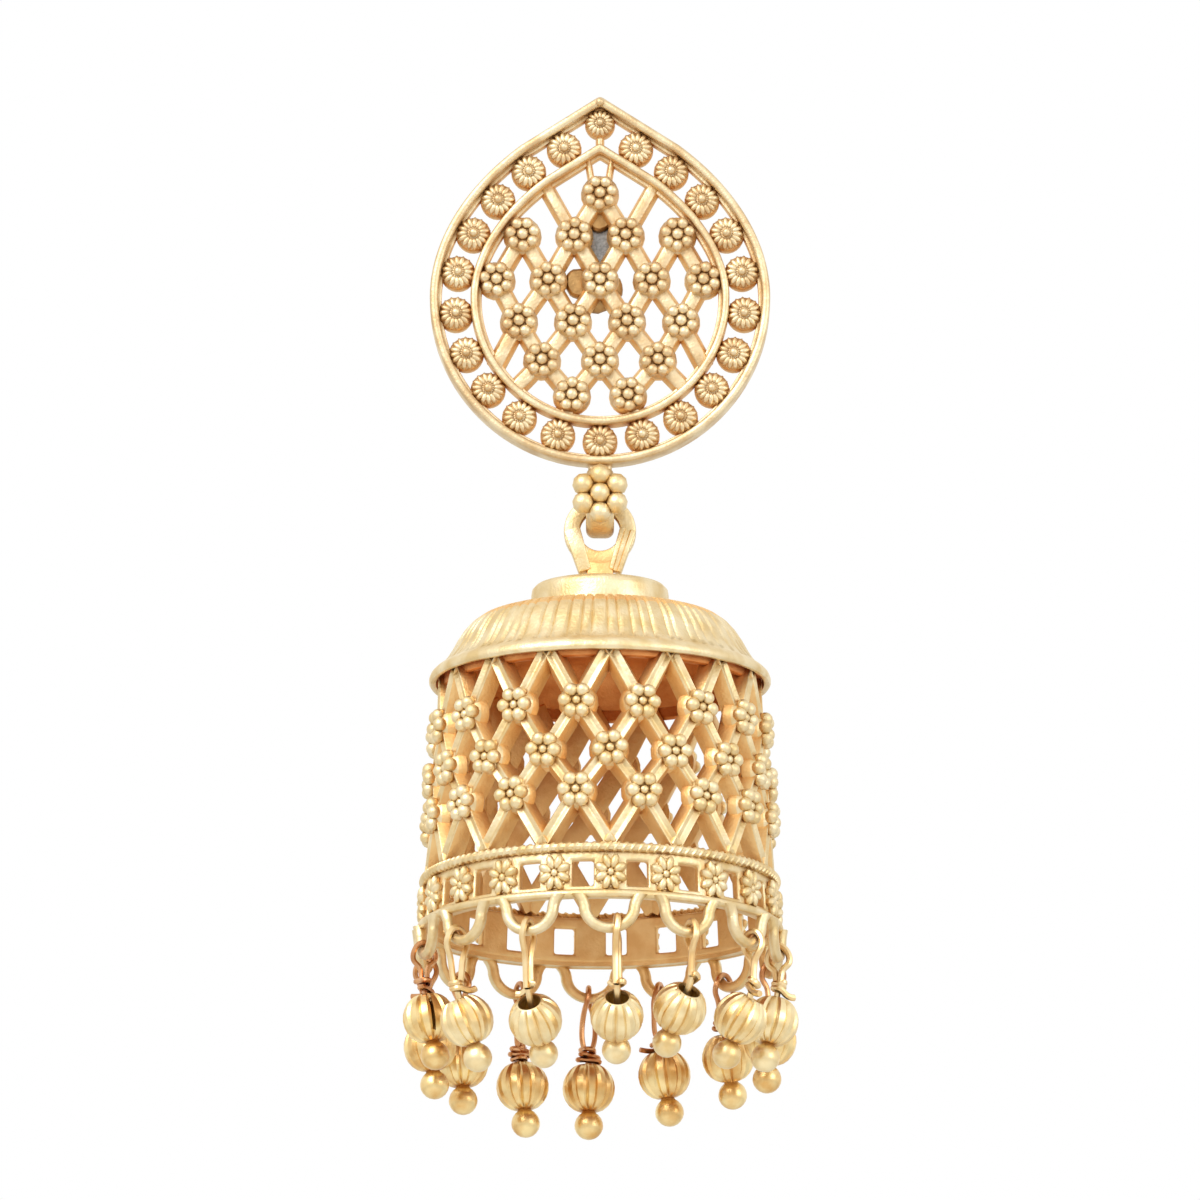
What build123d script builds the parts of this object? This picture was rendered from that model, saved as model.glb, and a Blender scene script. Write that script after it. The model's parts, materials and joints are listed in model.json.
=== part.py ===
from build123d import *

import os
from math import asin, cos, degrees, radians, sin, sqrt

# A jhumka earring: an openwork ear plate with a post, and a caged bell with bead drops that hangs from its loop.
# Millimetres, +Z up. The wearer's ear is on the +Y side, and the decorated face of the plate looks along -Y.
# The origin is on the post's axis, at the back of its pad, where the earring is pinned on.

# --- Ear plate: a pierced teardrop, drawn about the centre of its round part -----------------------------------
PLATE_Z = -3.6  # height of that centre
PLATE_BACK_Y = -0.55
APEX_Z = 11.95
SHOULDER = (4.5, 9.05)  # end of the straight edge that runs down from the apex
SHOULDER_SAG = 1.0  # bulge of the edge between the shoulder and the widest point
ROUND_R = 9.7
WIDEST_Z = 0.1
RIM_WIDTH = 0.55
RIM_DEPTH = 1.45
FRAME_INSET = 2.3  # the inner frame, parallel to the outer edge
FRAME_WIDTH = 0.5
FRAME_DEPTH = 1.35
ROSETTE_COUNT = 22
ROSETTE_INSET = 1.43
ROSETTE_R = 0.95
ROSETTE_DEPTH = 1.3
STRUT_WIDTH = 0.6
STRUT_DEPTH = 0.9
FLOWER_R = 0.95
FLOWER_DEPTH = 1.3
# Rows of flowers that fill the plate, from the top down.
#            height, count, pitch
FIELD_ROWS = (
    (6.1, 1, 3.0),
    (3.8, 4, 3.0),
    (1.2, 5, 2.95),
    (-1.25, 4, 3.05),
    (-3.5, 3, 3.3),
    (-5.45, 2, 3.0),
)
STRUT_REACH = 3.2  # flowers of neighbouring rows no further apart than this are joined
# Solder left on the plate's back, under the pad: discs about the centre flower.
#     x, height, radius
SOLDER_PATCHES = (
    (-0.1, 0.85, 1.3),
    (-1.6, 1.3, 0.65),
)
SOLDER_THICKNESS = 0.3

# --- Loop and flower under the plate ----------------------------------------------------------------------------
LOOP_Y = -0.85
LOOP_Z = -15.35
LOOP_R = 1.47
LOOP_HALF_THICKNESS = 0.55
LOOP_HALF_WIDTH = 0.75
LOOP_EDGE_R = 0.45
CONNECTOR_R = 1.4
CONNECTOR_BACK_Y = -2.35
CONNECTOR_DEPTH = 0.7
TIP_BEAD_R = 0.5
TIP_BEAD_DROP = 1.5

# --- Post -------------------------------------------------------------------------------------------------------
PAD_R = 1.3
PAD_THICKNESS = 0.45
POST_R = 0.42
POST_LENGTH = 11.0
POST_GROOVE_R = 0.34
POST_GROOVE_Y = 9.2

# --- Bell: everything turns about a vertical axis through the loop ----------------------------------------------
BELL_Y = LOOP_Y
RING_Z = LOOP_Z - 1.68  # the bail ring on top of the bell, hooked into the loop
RING_INNER_R = 1.15
RING_OUTER_R = 2.05
RING_HALF_WIDTH = 0.38
COLLAR_R = 1.0
COLLAR_TOP_Z = -18.75
BOSS_R = 3.9
BOSS_TOP_Z = -20.2
DOME_TOP_Z = -22.0
SHOULDER_R = 6.5  # the dome is nearly flat out to here, then rolls over
SHOULDER_Z = -22.4
DOME_BELLY = (8.3, -23.4)  # a point on the rolled edge
DOME_R = 9.2
DOME_FOOT_Z = -25.3
LIP_R = 9.75
LIP_FOOT_Z = -26.2
CAP_WALL = 0.7
FLUTE_COUNT = 56
FLUTE_WIDTH = 0.3
FLUTE_DEPTH = 0.14
SEAT_GAP = 0.05  # between the cage's top ring and the cap it sits in

# --- Cage -------------------------------------------------------------------------------------------------------
CAGE_COUNT = 16  # flowers in each row
CAGE_PHASE = 3.3  # azimuth of the first crossing under the lip
CAGE_TOP_Z = -25.55
CAGE_FOOT_Z = -40.1
CAGE_TOP_R = 9.15
CAGE_FOOT_R = 10.1
CAGE_WALL = 0.8
LATTICE_TOP_Z = -26.5
LATTICE_PITCH_Z = 2.65
LATTICE_LEVELS = 4
CAGE_FLOWER_R = 0.95
CAGE_FLOWER_PROUD = 0.5
ROPE_Z = -37.4
ROPE_R = 0.38
GALLERY_COUNT = 20
GALLERY_Z = -38.75
GALLERY_STUD_R = 0.85
HEM_WIRE_R = 0.32
SCALLOP_COUNT = 14
SCALLOP_PHASE = 3.0
SCALLOP_R = 1.4
SCALLOP_TUBE_R = 0.28
SCALLOP_CENTRE_Z = -40.8

# --- Bead drops: one on each scallop ----------------------------------------------------------------------------
WIRE_R = 0.19
EYE_R = 0.66
EYE_CLEARANCE = 0.06
WRAP_R = 0.35
WRAP_DROPS = (0.15, 0.48)  # below the neck
MELON_R = 1.5
MELON_HALF_HEIGHT = 1.36
MELON_WALL = 0.3
MELON_GROOVES = 6  # grooves run right round, so each shows twice
MELON_GROOVE_WIDTH = 0.2
MELON_GROOVE_DEPTH = 0.14
MELON_MOUTH_R = 0.62
MELON_FOOT_R = 0.3
BALL_R = 0.82
BALL_BORE_R = 0.26
BALL_DROP = 2.16  # from the melon bead's centre to the ball's
NECK_DROP = 2.0  # from the neck, where the wire bends and is wrapped, to the melon bead's centre
# slide: how far the eye sits round from its scallop's lowest point, in degrees of azimuth
# neck: height of the bend in the wire
# lean: how far the bead's mouth turns outwards; tilt: how far it turns to the side
#     slide, neck, lean, tilt
DROPS = (
    (2.4, -45.25, 40, -3),
    (1.6, -44.55, 36, 2),
    (3.6, -44.35, 22, 4),
    (4.0, -43.65, 10, 6),
    (-1.5, -44.00, 4, -4),
    (4.0, -44.05, -18, -8),
    (3.0, -44.60, -6, 6),
    (0.7, -45.30, 3, 0),
    (-1.7, -45.40, 5, 3),
    (-3.0, -44.60, 4, -2),
    (-3.0, -44.40, 6, 5),
    (-4.0, -43.65, 8, -4),
    (-4.0, -44.60, 16, -6),
    (-0.7, -45.35, 40, 3),
)


def teardrop(inset=0.0):
    """The plate's outline as a face in XY, moved inwards by inset."""
    widest = (sqrt(ROUND_R**2 - WIDEST_Z**2), WIDEST_Z)
    chord_x, chord_z = widest[0] - SHOULDER[0], widest[1] - SHOULDER[1]
    chord = sqrt(chord_x**2 + chord_z**2)
    bulge = (
        (SHOULDER[0] + widest[0]) / 2 - SHOULDER_SAG * chord_z / chord,
        (SHOULDER[1] + widest[1]) / 2 + SHOULDER_SAG * chord_x / chord,
    )
    right = [
        Line((0, APEX_Z), SHOULDER),
        ThreePointArc(SHOULDER, bulge, widest),
    ]
    left = [edge.mirror(Plane.YZ) for edge in right]
    foot = ThreePointArc(widest, (0, -ROUND_R), (-widest[0], widest[1]))
    face = make_face(right + left + [foot])
    if inset == 0:
        return face
    return offset(face, -inset, kind=Kind.INTERSECTION).face()


def band(inset, width, depth):
    """A rim that follows the plate's outline, from its back up to depth."""
    return extrude(teardrop(inset) - teardrop(inset + width), depth)


def lobed_flower(radius, base, proud):
    """A six-petal flower about local Z, from -base up to proud, with a bead in its middle."""
    petal_r = 0.38 * radius
    outline = Circle(0.6 * radius) + [
        loc * Circle(petal_r) for loc in PolarLocations(radius - petal_r, 6)
    ]
    petals = Pos(0, 0, -base) * extrude(outline, base + 0.7 * proud)
    return petals + Pos(0, 0, 0.6 * proud) * Sphere(0.4 * radius)


def rosette():
    """A round milled rosette about local Z: a low dome with a button on it."""
    edge_z = ROSETTE_DEPTH - 0.3
    profile = Polyline(
        (0, 0), (ROSETTE_R, 0), (ROSETTE_R, edge_z), (0.8 * ROSETTE_R, ROSETTE_DEPTH), (0, ROSETTE_DEPTH), close=True
    )
    body = revolve(Plane.XZ * make_face(profile), Axis.Z)
    return body + Pos(0, 0, ROSETTE_DEPTH) * Sphere(0.32)


def field_places():
    """The flower centres of each row, from the plate's round centre."""
    rows = []
    for height, count, pitch in FIELD_ROWS:
        rows.append([((i - (count - 1) / 2) * pitch, height) for i in range(count)])
    return rows


def strut(start, end):
    """A flat bar in XY between two points."""
    run_x, run_z = end[0] - start[0], end[1] - start[1]
    length = sqrt(run_x**2 + run_z**2)
    angle = degrees(asin(run_z / length))
    middle = ((start[0] + end[0]) / 2, (start[1] + end[1]) / 2)
    turn = angle if run_x >= 0 else -angle
    return Pos(*middle) * Rot(0, 0, turn) * Rectangle(length, STRUT_WIDTH)


def field_struts(rows):
    """The bars that join the flowers to their neighbours and to the inner frame, trimmed to the frame."""
    bars = []
    for upper, lower in zip(rows, rows[1:]):
        for a in upper:
            for b in lower:
                if sqrt((a[0] - b[0]) ** 2 + (a[1] - b[1]) ** 2) < STRUT_REACH:
                    bars.append(strut(a, b))
    for row in rows:
        for x, z in {row[0], row[-1]}:
            away = sqrt(x**2 + z**2)
            bars.append(strut((x, z), (x * (away + 3) / away, z * (away + 3) / away)))
    for x, z in rows[1][1:3]:
        bars.append(strut((x, z), (1.9 * x, z + 2.4)))
    return extrude((Sketch() + bars) & teardrop(FRAME_INSET + FRAME_WIDTH / 2), STRUT_DEPTH)


def rosette_places():
    """Rosette centres, evenly spaced along a line inside the plate's edge, from the apex round."""
    line = teardrop(ROSETTE_INSET).outer_wire()
    top = max(line.vertices(), key=lambda vertex: vertex.Y)
    start = line.param_at_point(top.center())
    return [line.position_at((start + i / ROSETTE_COUNT) % 1) for i in range(ROSETTE_COUNT)]


def ear_plate():
    """The pierced plate with the flower and the loop that are soldered under it."""
    rows = field_places()
    plate = band(0, RIM_WIDTH, RIM_DEPTH) + band(FRAME_INSET, FRAME_WIDTH, FRAME_DEPTH)
    plate += [Pos(place) * rosette() for place in rosette_places()]
    plate += field_struts(rows)
    flower = Pos(0, 0, FLOWER_DEPTH - 0.4) * lobed_flower(FLOWER_R, FLOWER_DEPTH - 0.4, 0.5)
    plate += [Pos(x, z, 0) * flower for row in rows for x, z in row]
    plate += [Pos(x, z, 0) * Cylinder(radius, 2 * SOLDER_THICKNESS) for x, z, radius in SOLDER_PATCHES]
    plate = Pos(0, PLATE_BACK_Y, PLATE_Z) * Rot(90, 0, 0) * plate
    section = Pos(0, LOOP_R) * RectangleRounded(2 * LOOP_HALF_WIDTH, 2 * LOOP_HALF_THICKNESS, LOOP_EDGE_R)
    loop = Pos(0, LOOP_Y, LOOP_Z) * revolve(section, Axis.X)
    foot_z = PLATE_Z - ROUND_R
    neck = Pos(0, LOOP_Y, (foot_z + LOOP_Z + LOOP_R) / 2) * Box(1.3, 1.1, foot_z - LOOP_Z - LOOP_R + 0.8)
    connector = lobed_flower(CONNECTOR_R, 0.5, CONNECTOR_DEPTH)
    connector = Pos(0, CONNECTOR_BACK_Y, LOOP_Z + 0.1) * Rot(90, 0, 0) * connector
    tip = Pos(0, CONNECTOR_BACK_Y, LOOP_Z + 0.1 - TIP_BEAD_DROP) * Sphere(TIP_BEAD_R)
    return plate + [neck, loop, connector, tip]


def ear_post():
    """The post and the pad that carries it, turned in one piece, with a groove for the push-back."""
    shank_end = POST_LENGTH - POST_R
    outline = [
        Line((0, -PAD_THICKNESS), (PAD_R, -PAD_THICKNESS)),
        Line((PAD_R, -PAD_THICKNESS), (PAD_R, 0)),
        Line((PAD_R, 0), (POST_R, 0)),
        Line((POST_R, 0), (POST_R, POST_GROOVE_Y - 0.4)),
        ThreePointArc((POST_R, POST_GROOVE_Y - 0.4), (POST_GROOVE_R, POST_GROOVE_Y), (POST_R, POST_GROOVE_Y + 0.4)),
        Line((POST_R, POST_GROOVE_Y + 0.4), (POST_R, shank_end)),
        ThreePointArc((POST_R, shank_end), (POST_R * sin(radians(45)), shank_end + POST_R * sin(radians(45))),
                      (0, POST_LENGTH)),
        Line((0, POST_LENGTH), (0, -PAD_THICKNESS)),
    ]
    return revolve(make_face(outline), Axis.Y)


def dome_edges(inset):
    """The fluted dome's profile in XZ from the boss to the lip, moved inwards by inset: a slope and an arc."""
    start = (BOSS_R, DOME_TOP_Z - inset)
    shoulder = (SHOULDER_R - 0.2 * inset, SHOULDER_Z - inset)
    belly = (DOME_BELLY[0] - 0.7 * inset, DOME_BELLY[1] - 0.7 * inset)
    return [Line(start, shoulder), ThreePointArc(shoulder, belly, (DOME_R - inset, DOME_FOOT_Z))]


def flutes():
    """Narrow radial cutters that leave shallow grooves between the dome's ribs."""
    outer, inner = dome_edges(-FLUTE_DEPTH), dome_edges(FLUTE_DEPTH)
    ends = [Line(outer[0] @ 0, inner[0] @ 0), Line(outer[1] @ 1, inner[1] @ 1)]
    blade = extrude(Plane.XZ * make_face(outer + inner + ends), FLUTE_WIDTH / 2, both=True)
    blade -= Cylinder(BOSS_R + 0.1, 60)
    return [Rot(0, 0, i * 360 / FLUTE_COUNT) * blade for i in range(FLUTE_COUNT)]


def bell_cap():
    """The hollow cap: bail ring, collar, boss, fluted dome and smooth lip, soldered into one."""
    outer, inner = dome_edges(0), dome_edges(CAP_WALL)
    boss_inner_r, boss_inner_z = BOSS_R - CAP_WALL, BOSS_TOP_Z - CAP_WALL
    inner_foot, inner_top = inner[1] @ 1, inner[0] @ 0
    seat_r, seat_z = CAGE_TOP_R + SEAT_GAP, CAGE_TOP_Z + SEAT_GAP
    rest = Polyline(
        outer[1] @ 1,
        (LIP_R, DOME_FOOT_Z),
        (LIP_R, LIP_FOOT_Z),
        (seat_r, LIP_FOOT_Z),
        (seat_r, seat_z),
        (inner_foot.X, seat_z),
        inner_foot,
    )
    top = Polyline(
        inner_top,
        (boss_inner_r, inner_top.Y),
        (boss_inner_r, boss_inner_z),
        (0, boss_inner_z),
        (0, BOSS_TOP_Z),
        (BOSS_R, BOSS_TOP_Z),
        outer[0] @ 0,
    )
    walls = outer + rest.edges() + inner + top.edges()
    cap = revolve(Plane.XZ * make_face(walls), Axis.Z) - flutes()
    collar = Pos(0, 0, (COLLAR_TOP_Z + BOSS_TOP_Z) / 2) * Cylinder(COLLAR_R, COLLAR_TOP_Z - BOSS_TOP_Z + 0.2)
    ring = extrude(Plane.XZ * (Circle(RING_OUTER_R) - Circle(RING_INNER_R)), RING_HALF_WIDTH, both=True)
    return Pos(0, BELL_Y, 0) * (cap + collar + Pos(0, 0, RING_Z) * ring)


def cage_r(z):
    """The cage's outer radius at height z: it flares a little towards its foot."""
    share = (CAGE_TOP_Z - z) / (CAGE_TOP_Z - CAGE_FOOT_Z)
    return CAGE_TOP_R + share * (CAGE_FOOT_R - CAGE_TOP_R)


def cage_windows():
    """Radial cutters for the lattice: rows of six-sided windows between a row of triangles at each end."""
    diamond = [(0, 1.95), (0.95, 0.75), (0.95, -0.75), (0, -1.95), (-0.95, -0.75), (-0.95, 0.75)]
    hanging = [(-1.35, -0.1), (1.35, -0.1), (0.4, -1.5), (-0.4, -1.5)]
    standing = [(x, -z) for x, z in hanging]
    cutters = []
    for level in range(LATTICE_LEVELS + 1):
        shape = {0: hanging, LATTICE_LEVELS: standing}.get(level, diamond)
        window = extrude(Plane.XZ * make_face(Polyline(*shape, close=True)), 4)
        place = Pos(0, 2 - CAGE_TOP_R, LATTICE_TOP_Z - level * LATTICE_PITCH_Z)
        for i in range(CAGE_COUNT):
            cutters.append(Rot(0, 0, lattice_azimuth(level + 1, i)) * place * window)
    return cutters


def lattice_azimuth(level, index):
    """The azimuth of a lattice crossing; every other level is half a step round."""
    return CAGE_PHASE + (index + 0.5 * (level % 2)) * 360 / CAGE_COUNT


def cage_flowers():
    """The flowers on the lattice's three rows of crossings."""
    flower = Rot(90, 0, 0) * lobed_flower(CAGE_FLOWER_R, 0.3, CAGE_FLOWER_PROUD)
    flowers = []
    for level in range(1, LATTICE_LEVELS):
        z = LATTICE_TOP_Z - level * LATTICE_PITCH_Z
        for i in range(CAGE_COUNT):
            flowers.append(Rot(0, 0, lattice_azimuth(level, i)) * Pos(0, -cage_r(z), z) * flower)
    return flowers


def gallery_studs():
    """The round studs on the wall between the rope and the hem wire."""
    stud = Rot(90, 0, 0) * (Cylinder(GALLERY_STUD_R, 0.7) + Pos(0, 0, 0.35) * Sphere(0.34))
    place = Pos(0, -cage_r(GALLERY_Z), GALLERY_Z)
    return [Rot(0, 0, i * 360 / GALLERY_COUNT) * place * stud for i in range(GALLERY_COUNT)]


def scallop_azimuth(index):
    """The azimuth of a scallop's lowest point."""
    return SCALLOP_PHASE + index * 360 / SCALLOP_COUNT


def scallops():
    """The U-shaped wire loops under the hem wire."""
    bend = revolve(Pos(SCALLOP_R, 0, 0) * Circle(SCALLOP_TUBE_R), Axis.Y, 180)
    leg_length = CAGE_FOOT_Z - SCALLOP_CENTRE_Z
    legs = [Pos(x, 0, leg_length / 2) * Cylinder(SCALLOP_TUBE_R, leg_length) for x in (-SCALLOP_R, SCALLOP_R)]
    place = Pos(0, -CAGE_FOOT_R, SCALLOP_CENTRE_Z)
    return [Rot(0, 0, scallop_azimuth(i)) * place * (bend + legs) for i in range(SCALLOP_COUNT)]


def bell_cage():
    """The pierced cage with its flowers, rope, gallery wall, hem wire and scallops, soldered into one."""
    wall = Polyline(
        (CAGE_TOP_R, CAGE_TOP_Z),
        (CAGE_FOOT_R, CAGE_FOOT_Z),
        (CAGE_FOOT_R - CAGE_WALL, CAGE_FOOT_Z),
        (CAGE_TOP_R - CAGE_WALL, CAGE_TOP_Z),
        close=True,
    )
    cage = revolve(Plane.XZ * make_face(wall), Axis.Z) - cage_windows()
    cage += cage_flowers()
    cage += Pos(0, 0, ROPE_Z) * Torus(cage_r(ROPE_Z), ROPE_R)
    cage += gallery_studs()
    cage += [Pos(0, 0, CAGE_FOOT_Z) * Torus(CAGE_FOOT_R, HEM_WIRE_R)] + scallops()
    return Pos(0, BELL_Y, 0) * cage


def drop_place(index):
    """Where a drop's wire passes its scallop: its azimuth, and the height of the scallop's wire there."""
    slide = DROPS[index][0]
    along = CAGE_FOOT_R * radians(slide)
    height = SCALLOP_CENTRE_Z - sqrt(SCALLOP_R**2 - along**2)
    return Pos(0, BELL_Y, 0) * Rot(0, 0, scallop_azimuth(index) + slide), height


def hang(index):
    """The frame of a drop's lower half: its origin is the neck, and the bead hangs along its -Z."""
    turn, _ = drop_place(index)
    _, neck, lean, tilt = DROPS[index]
    return turn * Pos(0, -CAGE_FOOT_R, neck) * Rot(lean, tilt, 0)


def drop_wire(index):
    """One bead drop's wire: an eye hooked through its scallop, a shank, two wraps, and a stem for the beads."""
    turn, scallop_z = drop_place(index)
    neck = DROPS[index][1]
    eye_z = scallop_z + SCALLOP_TUBE_R + EYE_CLEARANCE + WIRE_R - EYE_R
    shank_top = eye_z - EYE_R
    eye = Pos(0, 0, eye_z) * Rot(0, 90, 0) * Torus(EYE_R, WIRE_R)
    shank = Pos(0, 0, (shank_top + neck) / 2) * Cylinder(WIRE_R, shank_top - neck)
    upper = turn * Pos(0, -CAGE_FOOT_R, 0) * (eye + shank)
    stem_length = NECK_DROP + BALL_DROP + 0.3
    stem = Pos(0, 0, -stem_length / 2) * Cylinder(WIRE_R, stem_length)
    wraps = [Pos(0, 0, -drop) * Torus(WRAP_R, WIRE_R) for drop in WRAP_DROPS]
    return upper + hang(index) * (stem + Sphere(WIRE_R) + wraps)


def melon_bead():
    """A hollow ribbed bead about Z, with flattened ends, a wide mouth and a small hole at its foot."""
    bead = Sphere(MELON_R) & Box(4 * MELON_R, 4 * MELON_R, 2 * MELON_HALF_HEIGHT)
    bead -= Sphere(MELON_R - MELON_WALL)
    bead -= [
        Pos(0, 0, MELON_R) * Cylinder(MELON_MOUTH_R, 2 * MELON_R),
        Pos(0, 0, -MELON_R) * Cylinder(MELON_FOOT_R, 2 * MELON_R),
    ]
    groove = Box(4 * MELON_R, MELON_GROOVE_WIDTH, 4 * MELON_R) - Sphere(MELON_R - MELON_GROOVE_DEPTH)
    return bead - [Rot(0, 0, i * 180 / MELON_GROOVES) * groove for i in range(MELON_GROOVES)]


def end_ball():
    """The small round bead under a melon bead, bored from above for the wire's end."""
    depth = BALL_R + 0.4
    return Sphere(BALL_R) - Pos(0, 0, BALL_R - depth / 2) * Cylinder(BALL_BORE_R, depth)


def main():
    os.makedirs("parts", exist_ok=True)
    pieces = {"ear_plate": ear_plate(), "ear_post": ear_post(), "bell_cap": bell_cap(), "bell_cage": bell_cage()}
    melon, ball = melon_bead(), end_ball()
    for index in range(len(DROPS)):
        number = f"{index + 1:02d}"
        pieces[f"drop_wire_{number}"] = drop_wire(index)
        pieces[f"melon_bead_{number}"] = hang(index) * Pos(0, 0, -NECK_DROP) * melon
        pieces[f"end_ball_{number}"] = hang(index) * Pos(0, 0, -NECK_DROP - BALL_DROP) * ball
    for name, piece in pieces.items():
        export_step(piece, f"parts/{name}.step")


main()
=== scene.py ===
"""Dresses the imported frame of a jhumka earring: pierced ear plate, caged bell and a fringe of ribbed beads.

Shapes are drawn in millimetres and brought to metres when a piece is released. +Z is up, and the plate's
face looks along -Y.
"""

from __future__ import annotations

import json
import logging
import math
import random
from collections.abc import Callable, Iterable, Iterator, Sequence
from contextlib import contextmanager
from dataclasses import dataclass
from enum import Enum

import bmesh
import bpy
from mathutils import Matrix, Vector
from mathutils.geometry import intersect_line_line_2d

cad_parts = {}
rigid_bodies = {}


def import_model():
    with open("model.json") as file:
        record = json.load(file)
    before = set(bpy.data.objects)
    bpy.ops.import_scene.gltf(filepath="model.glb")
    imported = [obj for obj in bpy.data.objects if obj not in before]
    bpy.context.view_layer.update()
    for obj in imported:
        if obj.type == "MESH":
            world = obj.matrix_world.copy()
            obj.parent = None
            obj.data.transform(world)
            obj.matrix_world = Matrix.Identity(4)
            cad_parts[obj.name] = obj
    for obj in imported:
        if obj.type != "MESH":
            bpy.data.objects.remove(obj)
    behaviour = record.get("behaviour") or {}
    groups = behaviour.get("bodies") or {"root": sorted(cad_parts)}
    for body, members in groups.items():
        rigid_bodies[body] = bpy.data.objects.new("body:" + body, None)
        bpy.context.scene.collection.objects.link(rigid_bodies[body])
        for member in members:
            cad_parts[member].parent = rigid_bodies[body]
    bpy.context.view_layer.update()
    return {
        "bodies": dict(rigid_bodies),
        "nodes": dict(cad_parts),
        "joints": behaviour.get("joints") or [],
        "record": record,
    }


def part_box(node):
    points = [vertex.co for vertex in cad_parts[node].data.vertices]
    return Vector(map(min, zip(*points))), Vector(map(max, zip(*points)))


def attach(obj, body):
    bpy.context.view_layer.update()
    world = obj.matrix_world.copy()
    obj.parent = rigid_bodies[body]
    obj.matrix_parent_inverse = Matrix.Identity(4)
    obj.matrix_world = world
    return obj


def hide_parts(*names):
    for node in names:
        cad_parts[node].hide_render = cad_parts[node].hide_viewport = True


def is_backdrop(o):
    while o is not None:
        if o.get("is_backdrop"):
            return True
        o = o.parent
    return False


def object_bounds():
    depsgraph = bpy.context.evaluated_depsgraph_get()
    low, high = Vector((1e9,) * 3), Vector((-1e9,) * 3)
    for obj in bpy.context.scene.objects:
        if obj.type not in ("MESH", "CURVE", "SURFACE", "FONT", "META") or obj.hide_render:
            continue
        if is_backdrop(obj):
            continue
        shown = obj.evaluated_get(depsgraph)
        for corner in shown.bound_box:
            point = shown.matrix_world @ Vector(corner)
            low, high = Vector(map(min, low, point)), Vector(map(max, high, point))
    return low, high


LOG = logging.getLogger("jhumka")
MM = 0.001
SMOOTH_DEG = 40.0  # edges sharper than this stay sharp
QUARTER_HANDLE = 0.5523  # a quarter circle's curve handles, as a share of its radius
AXIS_Y = -0.85  # the bell's axis, which the loop's middle lies over

Object = bpy.types.Object
Material = bpy.types.Material
Tree = bpy.types.NodeTree
Socket = bpy.types.NodeSocket
Point = tuple[float, float]
FaceTest = Callable[[float, float, float, Vector], bool]


# --------------------------------------------------------------------------------------------- finishes


def linear(hex_colour: str) -> tuple[float, float, float, float]:
    """Turns an sRGB hex colour into Blender's linear RGBA.

    Args:
        hex_colour: A colour such as "#E8B860".

    Returns:
        The linear colour, with an alpha of 1.
    """
    parts = [int(hex_colour[i : i + 2], 16) / 255 for i in (1, 3, 5)]
    levels = [p / 12.92 if p <= 0.04045 else ((p + 0.055) / 1.055) ** 2.4 for p in parts]
    return (levels[0], levels[1], levels[2], 1.0)


def add_node(tree: Tree, kind: str, inputs: dict | None = None, **settings: object) -> bpy.types.Node:
    """Adds one node to a tree.

    Args:
        tree: The node tree.
        kind: The node's type, without the "ShaderNode" that all of them start with.
        inputs: For each input, by name or number, a value or the output that feeds it.
        **settings: Attributes of the node itself.

    Returns:
        The new node.
    """
    node = tree.nodes.new(f"ShaderNode{kind}")
    for name, value in settings.items():
        setattr(node, name, value)
    for key, value in (inputs or {}).items():
        if isinstance(value, Socket):
            tree.links.new(value, node.inputs[key])
        else:
            node.inputs[key].default_value = value
    return node


def new_material(name: str) -> tuple[Material, Tree, Socket]:
    """Makes an empty material.

    Args:
        name: Its name.

    Returns:
        The material, its tree, and the output that gives a point's place on the object.
    """
    material = bpy.data.materials.new(name)
    material.use_nodes = True
    tree = material.node_tree
    tree.nodes.clear()
    return material, tree, add_node(tree, "TexCoord").outputs["Object"]


@dataclass(frozen=True)
class GoldPlate:
    """Gold plate on brass: a warm metal that turns browner in its hollows, from tarnish and painted shade.

    The eye sees a pale satin skin on what stands proud, soft blotches where the plate is thinner, and brown
    in every hollow: partly tarnish, partly painted shade laid on by ambient occlusion.
    """

    name: str
    bright: str = "#EEDCB4"
    thin: str = "#DFC48E"
    # The colour of the crevices: tarnish, and painted shade wherever ambient occlusion finds a hollow.
    tarnish_and_shade: str = "#B48A4C"
    roughness: float = 0.46
    grain_mm: float = 0.16  # sand-cast texture; coarser than the real 0.03 mm so that it shows
    grain_depth_mm: float = 0.045
    crevice_mm: float = 0.35
    blotch_mm: float = 1.3

    def make(self) -> Material:
        """Builds the material.

        Returns:
            The material.
        """
        material, tree, place = new_material(self.name)
        blotches = {"Vector": place, "Scale": 1 / (self.blotch_mm * MM), "Detail": 4.0}
        grains = {"Vector": place, "Scale": 1 / (self.grain_mm * MM), "Detail": 2.0}
        blotch = add_node(tree, "TexNoise", blotches).outputs[0]
        grain = add_node(tree, "TexNoise", grains).outputs[0]
        patch = add_node(tree, "MapRange", {"Value": blotch, "From Min": 0.38, "From Max": 0.64})
        plate = {0: patch.outputs[0], 6: linear(self.bright), 7: linear(self.thin)}
        skin = add_node(tree, "Mix", plate, data_type="RGBA").outputs[2]
        # Painted shade, partly tarnish: ambient occlusion browns the crevices.
        sky = add_node(tree, "AmbientOcclusion", {"Distance": self.crevice_mm * MM}, samples=6).outputs["AO"]
        open_share = add_node(tree, "MapRange", {"Value": sky, "From Min": 0.15, "From Max": 0.62})
        shaded_tarnish = {0: open_share.outputs[0], 6: linear(self.tarnish_and_shade), 7: skin}
        colour = add_node(tree, "Mix", shaded_tarnish, data_type="RGBA")
        satin = {"Value": blotch, "To Min": self.roughness - 0.06, "To Max": self.roughness + 0.08}
        relief = {"Height": grain, "Distance": self.grain_depth_mm * MM, "Strength": 0.6}
        finish_metal(tree, colour.outputs[2], add_node(tree, "MapRange", satin).outputs[0], relief)
        return material


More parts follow.
